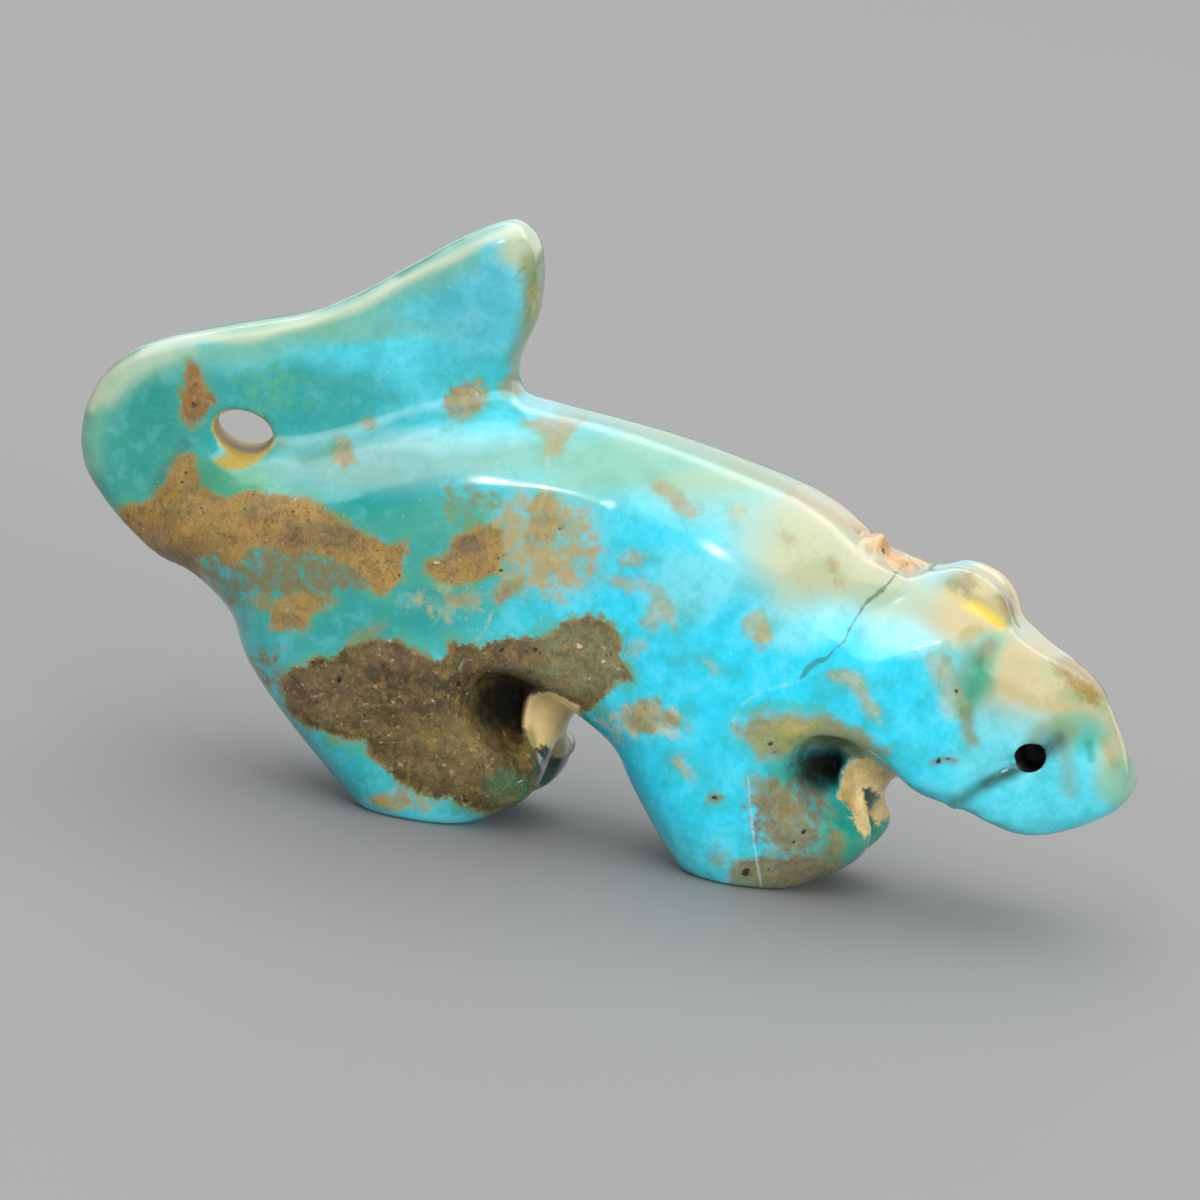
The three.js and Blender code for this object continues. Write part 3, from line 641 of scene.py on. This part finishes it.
# Dirt and painted shade, near black inside the eye bores
EYE_DIRT_AND_SHADE = Level("eye_distance", 0.04, 0.01)
POLISH = Level(MOTTLE, 0.3, 0.7, 0.16, 0.24)  # its roughness, and then what matrix and dirt add
DULL_ROUGHNESS = 0.3
DIRT_ROUGHNESS = 0.4
STONE_IOR = 1.62
COAT = Level("covered", 0.9, 0.1, 0.1, 0.5)
COAT_ROUGHNESS = 0.13
BUMPS = Grain(5.0, 4.0)
DULL_BUMP = 0.9  # share of them on the matrix, and on the polish
POLISHED_BUMP = 0.05
PORES = Level(Flecks(3.4, False), 0.22, 0.0)
PORE_SHARE = 0.6
BUMP_STRENGTH = 0.4
BUMP_HEIGHT = 0.05

# Stage, m
FLOOR_HALF = 3.0
FLOOR_COLOUR = (0.25, 0.25, 0.247, 1)
FLOOR_ROUGHNESS = 0.7
STONE_MIDDLE = (0, 0, 0.012)
PANELS = {
    "tent": Panel((-0.15, 0.2, 0.62), (-0.15, 0.2, 0), (1.4, 1.45), 10.0, True),
    "rim": Panel((0, 0.95, 0.5), STONE_MIDDLE, (1.6, 0.9), 4.0, True),
    "strip": Panel((-0.07, -0.57, 0.56), STONE_MIDDLE, (0.065, 0.06), 0.48, True),
    "right_fill": Panel((0.6, -0.56, 0.18), STONE_MIDDLE, (0.5, 0.3), 5.8, False),
    "front_fill": Panel((-0.35, -0.83, 0.22), STONE_MIDDLE, (1.1, 0.6), 4.0, False),
}
WORLD_COLOUR = (0.9, 0.95, 1, 1)
WORLD_STRENGTH = 0.16


# Shares and noises
def between(value, start, end):
    """0 at start, 1 at end, and straight between them."""
    return np.clip((value - start) / (end - start), 0, 1)


def eased(share):
    return share * share * (3 - 2 * share)


def noise_field(points, waves):
    shift = waves.seed * SEED_STEP
    return np.array([noise.noise(Vector(point) / waves.size + shift) for point in points])


def linear(colour):
    """A colour of 0 to 255 in sRGB, as the shader takes it."""
    return np.array(Color([part / 255 for part in colour]).from_srgb_to_scene_linear())


# Photograph's frame
def camera_axes():
    back = np.array([
        math.sin(AZIMUTH) * math.cos(ELEVATION),
        -math.cos(AZIMUTH) * math.cos(ELEVATION),
        math.sin(ELEVATION),
    ])
    level = np.array([math.cos(AZIMUTH), math.sin(AZIMUTH), 0.0])
    steep = np.cross(back, level)
    right = level * math.cos(ROLL) + steep * math.sin(ROLL)
    up = -level * math.sin(ROLL) + steep * math.cos(ROLL)
    return right, up, back


def photo_places(points):
    """Pixels of the photograph where points are seen. The far side takes its mirror image's place."""
    right, up, back = camera_axes()
    near = np.column_stack([points[:, 0], -np.abs(points[:, 1]), points[:, 2]])
    seen = near - AIM
    scale = PIXELS_PER_MM * DISTANCE / (DISTANCE - seen @ back)
    middle = IMAGE_SIZE / 2
    return np.column_stack([middle + seen @ right * scale, middle - seen @ up * scale])


def outline_distance(places, outline):
    """Distance to a closed outline in pixels, negative inside."""
    nearest = np.full(len(places), np.inf)
    inside = np.zeros(len(places), bool)
    corners = np.asarray(outline, float)
    for start, end in zip(corners, np.roll(corners, -1, axis=0)):
        side = end - start
        off = places - start
        along = np.clip(off @ side / (side @ side), 0, 1)
        nearest = np.minimum(nearest, ((off - along[:, None] * side) ** 2).sum(1))
        crosses = (start[1] > places[:, 1]) != (end[1] > places[:, 1])
        rise = side[1] or 1.0  # nothing crosses a level side
        inside ^= crosses & (places[:, 0] < start[0] + side[0] * (places[:, 1] - start[1]) / rise)
    return np.sqrt(nearest) * np.where(inside, -1, 1)


def line_distance(places, route):
    """Signed distance across a route and distance past its ends, in pixels."""
    nearest = np.full(len(places), np.inf)
    across = np.zeros(len(places))
    past = np.zeros(len(places))
    route = np.asarray(route, float)
    last = len(route) - 2
    for i, (start, end) in enumerate(zip(route, route[1:])):
        side = end - start
        length = math.hypot(*side)
        off = places - start
        along = off @ side / length
        foot = np.clip(along, 0, length)[:, None] * side / length
        square = ((off - foot) ** 2).sum(1)
        closer = square < nearest
        nearest = np.where(closer, square, nearest)
        turned = off[:, 0] * side[1] - off[:, 1] * side[0]
        across = np.where(closer, np.sqrt(square) * np.sign(turned), across)
        beyond = np.maximum(-along if i == 0 else 0, along - length if i == last else 0)
        past = np.where(closer, np.maximum(beyond, 0), past)
    return across, past


def route_reach(places, route):
    """Distance from a route in pixels, which grows faster past its ends."""
    across, past = line_distance(places, route)
    return np.hypot(across, past)


def ellipse_share(places, ellipse, core=ZONE_CORE):
    """1 in the core of an ellipse, easing to 0 at its rim."""
    return eased(between(np.hypot(*((places - ellipse.middle) / ellipse.radii).T), 1, core))


# Form
def fine_copy(node):
    """The solid again as an even, fine mesh of quads."""
    mesh = bmesh.new()
    mesh.from_mesh(node.data)
    bmesh.ops.remove_doubles(mesh, verts=mesh.verts, dist=MERGE_DISTANCE * MM)
    data = bpy.data.meshes.new("carved_turquoise")
    mesh.to_mesh(data)
    mesh.free()
    stone = bpy.data.objects.new("carved_turquoise", data)
    bpy.context.scene.collection.objects.link(stone)
    remesh = stone.modifiers.new("even_quads", "REMESH")
    remesh.mode = "VOXEL"
    remesh.voxel_size = VOXEL * MM
    bpy.context.view_layer.update()
    made = bpy.data.meshes.new_from_object(stone.evaluated_get(bpy.context.evaluated_depsgraph_get()))
    stone.modifiers.clear()
    stone.data = made
    return stone


def read_vectors(mesh, name):
    flat = np.empty(len(mesh.vertices) * 3, np.float32)
    mesh.vertices.foreach_get(name, flat)
    return flat.reshape(-1, 3).astype(float)


def write_points(mesh, points):
    mesh.vertices.foreach_set("co", (points * MM).astype(np.float32).ravel())
    mesh.update()


def read_edges(mesh):
    flat = np.empty(len(mesh.edges) * 2, np.int32)
    mesh.edges.foreach_get("vertices", flat)
    return flat.reshape(-1, 2)


def neighbour_mean(values, edges, counts):
    total = np.zeros_like(values)
    for axis in range(values.shape[1]):
        for here, there in (edges.T, edges.T[::-1]):
            total[:, axis] += np.bincount(here, values[there, axis], len(values))
    return total / counts[:, None]


def bore_size(points, middle, reach):
    """How far points are from a bore's middle in the side view, as a share of its reach."""
    return np.hypot(*((points[:, [0, 2]] - middle) / reach).T)


def smooth_form(points, edges):
    """Polishes the facets away, and leaves the rims of the bores nearly as they are."""
    counts = np.bincount(edges.ravel(), minlength=len(points)).astype(float)
    size = np.minimum(bore_size(points, TAIL_HOLE, TAIL_HOLE_REACH), bore_size(points, EYE, EYE_REACH))
    free = 1 - between(size, *CRISP_REACH)[:, None]
    places = photo_places(points)
    soft = np.zeros(len(points))
    for spot in SOFT_PLACES:
        soft = np.maximum(soft, spot.strength * ellipse_share(places, spot))
    for turn in range(SOFT_ROUNDS):
        if turn < CRISP_ROUNDS:
            step = 1
        elif turn < SMOOTHING_ROUNDS:
            step = free
        else:
            step = free * soft[:, None]
        points = points + SMOOTHING_STEP * step * (neighbour_mean(points, edges, counts) - points)
    return points


def skew_tail_hole(points):
    """Turns the tail hole's bore towards the camera of the photograph, and narrows it."""
    share = eased(between(bore_size(points, TAIL_HOLE, TAIL_HOLE_REACH), *SKEW_REACH))[:, None]
    depth = between(points[:, 1], -TAIL_THICKNESS / 2, TAIL_THICKNESS / 2)[:, None]
    shift = np.array(SKEW_NEAR) * (1 - depth) + np.array(SKEW_FAR) * depth
    off = points[:, [0, 2]] - TAIL_HOLE
    moved = points.copy()
    moved[:, [0, 2]] += share * (shift - off * (1 - np.array(HOLE_SCALE)))
    return moved


def snap_eyes(points):
    """Draws the rims and walls of the eyes on to true circles."""
    off = points[:, [0, 2]] - EYE
    radius = np.maximum(np.hypot(*off.T), MERGE_DISTANCE)
    share = between(np.abs(radius - EYE_RADIUS), *SNAP_REACH)
    wanted = radius + share * (EYE_RADIUS - radius)
    moved = points.copy()
    moved[:, [0, 2]] = EYE + off * (wanted / radius)[:, None]
    return moved


def scoop(points, places):
    """Deepens the recesses towards the middle plane."""
    inward = np.zeros(len(points))
    for hollow in HOLLOWS.values():
        uncut = between(places[:, 0], hollow.wall, hollow.wall - WALL_WIDTH)
        inward += hollow.depth * ellipse_share(places, hollow, HOLLOW_CORE) * uncut
    reach = np.abs(points[:, 1])
    kept = np.maximum(reach - inward, np.minimum(reach, WEB_HALF))
    return np.column_stack([points[:, 0], np.sign(points[:, 1]) * kept, points[:, 2]])


def matrix_sink(points, places):
    """How far the matrix lies below the polish, rough as it is."""
    patch = patch_fields(points, places)
    inside = between(patch["distance"], MATRIX_EDGE, -MATRIX_EDGE) * patch["grain"]
    rough = noise_field(points, ROUGH_WAVES) + FINE_ROUGHNESS * noise_field(points, FINE_ROUGH_WAVES)
    return inside * (MATRIX_SINK + MATRIX_ROUGHNESS * rough)


def chip_sink(points, places):
    chip = between(outline_distance(places, NECK_CHIP) / PIXELS_PER_MM, CHIP_EDGE, -CHIP_EDGE)
    breaks = CHIP_BREAKS * noise_field(points, BREAK_WAVES)
    breaks += CHIP_FINE_BREAKS * noise_field(points, FINE_BREAK_WAVES)
    return chip * CHIP_DEPTH * np.clip(CHIP_LEVEL + breaks, 0, 1)


def drawn_sink(places, near, facing):
    """How far the folds, lumps, crack and pits go in. The crack and the pits are on the near side alone."""
    sink = np.zeros(len(places))
    for fold in FOLDS.values():
        size = route_reach(places, fold.route) / PIXELS_PER_MM / fold.half
        sink -= facing * fold.height * between(size, 1, 0)
    for lump in LUMPS.values():
        sink -= lump.height * ellipse_share(places, lump, TIGHT_CORE)
    size = route_reach(places, CRACK) / PIXELS_PER_MM / CRACK_HALF_WIDTH
    sink += near * CRACK_DEPTH * between(size, 1, 0) ** 2
    for pit in PITS.values():
        size = np.hypot(*(places - pit.middle).T) / PIXELS_PER_MM / pit.radius
        sink += near * facing * PIT_DEPTH * np.clip(1 - size ** 2, 0, 1)
    return sink


def carve(stone):
    """Gives the fine mesh its polish, its unevenness, its crisp edges, and the chip, crack and pits."""
    mesh = stone.data
    points = smooth_form(read_vectors(mesh, "co") / MM, read_edges(mesh))
    write_points(mesh, points)
    store(mesh, "hole_wall", hole_wall_field(points, read_vectors(mesh, "normal")))
    points = snap_eyes(skew_tail_hole(points))
    points = scoop(points, photo_places(points))
    write_points(mesh, points)

    normals = read_vectors(mesh, "normal")
    places = photo_places(points)
    near = points[:, 1] < 0
    mirrored = normals.copy()
    mirrored[:, 1] *= np.where(near, 1, -1)
    facing = between(mirrored @ camera_axes()[2], 0, FACING_FULL)
    sink = matrix_sink(points, places) + chip_sink(points, places) + drawn_sink(places, near, facing)
    sink -= UNEVENNESS * noise_field(points, UNEVEN_WAVES)
    points = points - sink[:, None] * normals
    points[:, 2] = np.maximum(points[:, 2], 0)
    write_points(mesh, points)
    return points


# Fields of the material
def patch_fields(points, places):
    """What every point needs to know of the last patch that it lies in, or else of the nearest one.
    Distances are in mm, negative inside."""
    beyond = np.maximum(points[:, 1], 0)
    before = np.maximum(-points[:, 1], 0)
    layers = [(patch, NEAR_FADE * beyond) for patch in NEAR_PATCHES.values()]
    layers += [(patch, FAR_FADE * before) for patch in FAR_PATCHES.values()]
    nearest = np.full(len(points), np.inf)
    chosen = np.zeros(len(points), int)
    for number, (patch, fade) in enumerate(layers):
        distance = outline_distance(places, patch.outline) / PIXELS_PER_MM + fade
        shown = (distance < 0) | ((nearest > 0) & (distance < nearest))
        nearest = np.minimum(nearest, distance)
        chosen[shown] = number
    found = {"distance": nearest, "colour": np.array([linear(patch.colour) for patch, _ in layers])[chosen]}
    for name in ("grain", "soft", "strength"):
        found[name] = np.array([getattr(patch, name) for patch, _ in layers])[chosen]
    return found


def mixed_in(base, colour, share):
    return base * (1 - share[:, None]) + linear(colour) * share[:, None]


def mix_zones(base, places, zones):
    for zone in zones:
        share = zone.strength * ellipse_share(places, zone)
        base = mixed_in(base, zone.colour, share)
    return base


def mix_strokes(base, places):
    for stroke in STROKES:
        share = stroke.strength * eased(between(route_reach(places, stroke.route), stroke.half, 0))
        base = mixed_in(base, stroke.colour, share)
    return base


def mottle_fields(places):
    amount = np.zeros(len(places))
    colour = np.tile(linear(TAN), (len(places), 1))
    for zone in MOTTLES:
        share = zone.strength * ellipse_share(places, zone)
        stronger = share > amount
        amount[stronger] = share[stronger]
        colour[stronger] = linear(zone.colour)
    return amount, colour


def dirt_and_shade_field(places):
    """How much dirt and painted shade darken the recesses. The webs beside them are kept free of both."""
    dirt = np.zeros(len(places))
    for spot in DIRT_AND_SHADE_PLACES:
        share = ellipse_share(places, spot, TIGHT_CORE)
        for web in (REAR_WEB, FRONT_WEB):
            share *= between(outline_distance(places, web), 0, WALL_WIDTH)
        dirt = np.maximum(dirt, spot.strength * share)
    return dirt


def hole_wall_field(points, normals):
    """1 on the wall of the tail hole."""
    size = bore_size(points, TAIL_HOLE, TAIL_HOLE_REACH)
    return between(np.abs(normals[:, 1]), *HOLE_WALL_TURN) * between(size, *HOLE_WALL_REACH)


def speck_field(points, places):
    """Distance to the nearest pit's rim in mm, negative inside."""
    distance = np.full(len(points), np.inf)
    for pit in PITS.values():
        distance = np.minimum(distance, np.hypot(*(places - pit.middle).T) / PIXELS_PER_MM - pit.radius)
    return distance + np.maximum(points[:, 1], 0)


def line_fields(points, places):
    """What every point needs to know of the nearest line. Distances are in mm."""
    nearest = np.full(len(points), np.inf)
    found = {
        "across": np.full(len(points), NO_LINE),
        "half": np.zeros(len(points)),
        "strength": np.zeros(len(points)),
        "colour": np.tile(linear(PALE_VEIN), (len(points), 1)),
    }
    for line in LINES.values():
        across, past = line_distance(places, line.route)
        reach = np.hypot(across, past) / PIXELS_PER_MM - line.half
        closer = (reach < nearest) & (points[:, 1] < LINE_SIDE)
        ends = between(past / PIXELS_PER_MM, LINE_END, 0)
        nearest[closer] = reach[closer]
        found["across"][closer] = across[closer] / PIXELS_PER_MM
        found["half"][closer] = line.half * ends[closer]
        found["strength"][closer] = line.strength
        found["colour"][closer] = linear(line.colour)
    return found


def store(mesh, name, values):
    kind, part = "FLOAT", "value"
    if values.ndim == 2:
        kind, part = "FLOAT_COLOR", "color"
        values = np.column_stack([values, np.ones(len(values))])
    layer = mesh.attributes.new(name, kind, "POINT")
    layer.data.foreach_set(part, values.astype(np.float32).ravel())


def store_fields(mesh, points):
    places = photo_places(points)
    warp = np.column_stack([noise_field(points, WARP_ACROSS), noise_field(points, WARP_DOWN)])
    base = np.tile(linear(SKY), (len(points), 1))
    base = mix_zones(base, places + ZONE_WARP * warp, ZONES)
    base = mix_strokes(base, places + STROKE_WARP * warp)
    store(mesh, "base_colour", base)
    store(mesh, "blueness", between(base[:, 0] / base[:, 2], *RED_TO_BLUE))
    patch = patch_fields(points, places)
    patch["colour"] = mix_zones(patch["colour"], places, STAINS)
    for name, values in patch.items():
        store(mesh, "patch_" + name, values)
    for name, values in line_fields(points, places).items():
        store(mesh, "line_" + name, values)
    amount, colour = mottle_fields(places + MOTTLE_WARP * warp)
    store(mesh, "mottle_amount", amount)
    store(mesh, "mottle_colour", colour)
    store(mesh, "dirt", dirt_and_shade_field(places))
    store(mesh, "eye_distance", np.hypot(*(points[:, [0, 2]] - EYE).T) - EYE_RADIUS)
    store(mesh, "speck_distance", speck_field(points, places))


# Material
class Nodes:
    """Adds nodes to a material and links them by value."""

    def __init__(self, tree):
        self.tree = tree
        self.values = {}
        self.where = self.add("ShaderNodeTexCoord").outputs["Object"]
        moved = self.add("ShaderNodeVectorMath", operation="MULTIPLY_ADD")
        self.put(moved.inputs[0], self.texture(DRIFT).outputs["Color"])
        moved.inputs[1].default_value = (2 * DRIFT_REACH * MM,) * 3
        self.put(moved.inputs[2], self.where)
        self.drifted = moved.outputs[0]

    def add(self, kind, **settings):
        node = self.tree.nodes.new(kind)
        for key, value in settings.items():
            setattr(node, key, value)
        return node

    def put(self, socket, value):
        if isinstance(value, bpy.types.NodeSocket):
            self.tree.links.new(value, socket)
        else:
            socket.default_value = value

    def math(self, operation, value, *others):
        for other in others:
            node = self.add("ShaderNodeMath", operation=operation)
            self.put(node.inputs[0], value)
            self.put(node.inputs[1], other)
            value = node.outputs[0]
        return value

    def times(self, *parts):
        return self.math("MULTIPLY", *parts)

    def plus(self, *parts):
        return self.math("ADD", *parts)

    def texture(self, what):
        node = self.add("ShaderNodeTexNoise" if isinstance(what, Grain) else "ShaderNodeTexVoronoi")
        self.put(node.inputs["Vector"], self.drifted if what.drifts else self.where)
        node.inputs["Scale"].default_value = what.per_mm / MM
        if isinstance(what, Grain):
            node.inputs["Detail"].default_value = what.detail
            node.inputs["Roughness"].default_value = what.rough
        return node

    def ramp(self, level):
        node = self.add("ShaderNodeMapRange", interpolation_type="SMOOTHSTEP")
        for socket, part in zip(node.inputs, (self.value(level.source), *level[1:])):
            self.put(socket, part)
        return node.outputs[0]

    def value(self, what):
        """A value by its name, a noise, flecks, or a level of one of these. Each is made once."""
        if what not in self.values:
            if isinstance(what, str):
                made = self.add("ShaderNodeAttribute", attribute_name=what).outputs["Fac"]
            elif isinstance(what, Level):
                made = self.ramp(what)
            else:
                made = self.texture(what).outputs[0]
            self.values[what] = made
        return self.values[what]

    def colour(self, what):
        """A colour of the stone by its name, or one of the palette."""
        if isinstance(what, str):
            return self.add("ShaderNodeAttribute", attribute_name=what).outputs["Color"]
        return (*linear(what), 1.0)

    def mix(self, share, base, tint):
        node = self.add("ShaderNodeMix", data_type="RGBA", clamp_factor=True)
        for index, part in zip(MIX_INPUTS, (share, base, tint)):
            self.put(node.inputs[index], part)
        return node.outputs[MIX_OUTPUT]

    def layered(self, base, layers):
        for layer in layers:
            share = self.times(*[self.value(part) for part in layer.parts], layer.share)
            base = self.mix(share, base, self.colour(layer.colour))
        return base


def turquoise_material():
    material = bpy.data.materials.new("polished_turquoise")
    material.use_nodes = True
    n = Nodes(material.node_tree)
    shader = material.node_tree.nodes["Principled BSDF"]
    edge = n.math("SUBTRACT", n.value(EDGE), 0.5)
    crumble = n.math("SUBTRACT", n.value(CRUMBLE), 0.5)

    # Where patches, blotches and lines are, shaken so that their edges are ragged
    shaken = n.plus(n.value("patch_distance"), n.times(edge, EDGE_REACH), n.times(crumble, CRUMBLE_REACH))
    n.values["edge"] = shaken
    n.values["edge_in_softness"] = n.math("DIVIDE", shaken, n.value("patch_soft"))
    patch = n.times(n.value(PATCH_RIM), n.value("patch_strength"))
    n.values["blotches"] = n.plus(n.value(BLOTCH), n.times(n.value("mottle_amount"), BLOTCH_PUSH))
    across = n.math("ABSOLUTE", n.value("line_across"), 0.0)
    off_line = n.math("SUBTRACT", across, n.value("line_half"))
    n.values["line_edge"] = n.plus(off_line, n.times(edge, LINE_SHAKE))
    n.values["whole_line"] = n.math("MAXIMUM", n.value(LINE_BREAKS), n.value(STRONG_LINE))

    # How dull the surface is, and how dark with dirt and with painted shade in the recesses and eye bores
    dull = n.math("MAXIMUM", n.times(patch, n.value("patch_grain")), n.value("hole_wall"))
    n.values["dull"] = dull
    n.values["shaken_dirt"] = n.plus(n.value("dirt"), n.times(edge, DIRT_AND_SHADE_SHAKE))
    n.values["shaken_pit"] = n.plus(n.value("speck_distance"), n.times(edge, PIT_SHAKE))
    # The recesses and the eye bores are darkened with dirt and painted shade, the pits with dirt
    recess = n.times(n.value(RECESS_DIRT_AND_SHADE), n.value(RECESS_START))
    dirt = n.math("MAXIMUM", recess, n.value(PIT_DIRT), n.value(EYE_DIRT_AND_SHADE))
    n.values["all_dirt"] = dirt
    n.values["covered"] = n.math("MAXIMUM", dull, dirt)

    stone = n.layered(n.colour("base_colour"), STONE_LAYERS)
    matrix = n.layered(n.colour("patch_colour"), MATRIX_LAYERS)
    n.put(shader.inputs["Base Color"], n.layered(n.mix(patch, stone, matrix), SURFACE_LAYERS))
    rough = n.plus(n.times(dull, DULL_ROUGHNESS), n.value(POLISH), n.times(dirt, DIRT_ROUGHNESS))
    n.put(shader.inputs["Roughness"], rough)
    n.put(shader.inputs["Coat Weight"], n.value(COAT))
    bumps = n.times(n.value(BUMPS), n.plus(n.times(dull, DULL_BUMP), POLISHED_BUMP))
    bump = n.add("ShaderNodeBump")
    bump.inputs["Strength"].default_value = BUMP_STRENGTH
    bump.inputs["Distance"].default_value = BUMP_HEIGHT * MM
    n.put(bump.inputs["Height"], n.math("SUBTRACT", bumps, n.times(n.value(PORES), dull, PORE_SHARE)))
    n.put(shader.inputs["Normal"], bump.outputs[0])
    shader.inputs["IOR"].default_value = STONE_IOR
    shader.inputs["Coat Roughness"].default_value = COAT_ROUGHNESS
    return material


def make_stone():
    stone = fine_copy(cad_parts["mountain_lion"])
    points = carve(stone)
    store_fields(stone.data, points)
    stone.data.shade_smooth()
    stone.data.materials.clear()
    stone.data.materials.append(turquoise_material())
    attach(stone, "root")
    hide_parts("mountain_lion")


# Stage
def make_floor():
    mesh = bpy.data.meshes.new("floor")
    corners = [(x * FLOOR_HALF, y * FLOOR_HALF, 0) for x, y in ((-1, -1), (1, -1), (1, 1), (-1, 1))]
    mesh.from_pydata(corners, [], [(0, 1, 2, 3)])
    floor = bpy.data.objects.new("floor", mesh)
    bpy.context.scene.collection.objects.link(floor)
    material = bpy.data.materials.new("pale_floor")
    material.use_nodes = True
    shader = material.node_tree.nodes["Principled BSDF"]
    shader.inputs["Base Color"].default_value = FLOOR_COLOUR
    shader.inputs["Roughness"].default_value = FLOOR_ROUGHNESS
    mesh.materials.append(material)


def make_lights():
    for name, panel in PANELS.items():
        data = bpy.data.lights.new(name, "AREA")
        data.shape = "RECTANGLE"
        data.size, data.size_y = panel.size
        data.energy = panel.power
        light = bpy.data.objects.new(name, data)
        light.location = panel.place
        light.rotation_euler = (Vector(panel.aim) - Vector(panel.place)).to_track_quat("-Z", "Y").to_euler()
        light.visible_glossy = panel.shines
        bpy.context.scene.collection.objects.link(light)
    world = bpy.data.worlds.new("studio")
    world.use_nodes = True
    background = world.node_tree.nodes["Background"]
    background.inputs["Color"].default_value = WORLD_COLOUR
    background.inputs["Strength"].default_value = WORLD_STRENGTH
    bpy.context.scene.world = world


def make_camera():
    right, up, back = camera_axes()
    data = bpy.data.cameras.new("photo_camera")
    data.sensor_width = SENSOR
    data.lens = PIXELS_PER_MM * DISTANCE * SENSOR / IMAGE_SIZE
    data.clip_start = CLIP_START
    camera = bpy.data.objects.new("photo_camera", data)
    turn = Matrix((right, up, back)).transposed().to_4x4()
    camera.matrix_world = Matrix.Translation(Vector((AIM + DISTANCE * back) * MM)) @ turn
    bpy.context.scene.collection.objects.link(camera)
    bpy.context.scene.camera = camera


make_camera()
make_stone()
make_floor()
make_lights()
bpy.context.scene.view_settings.view_transform = "Standard"
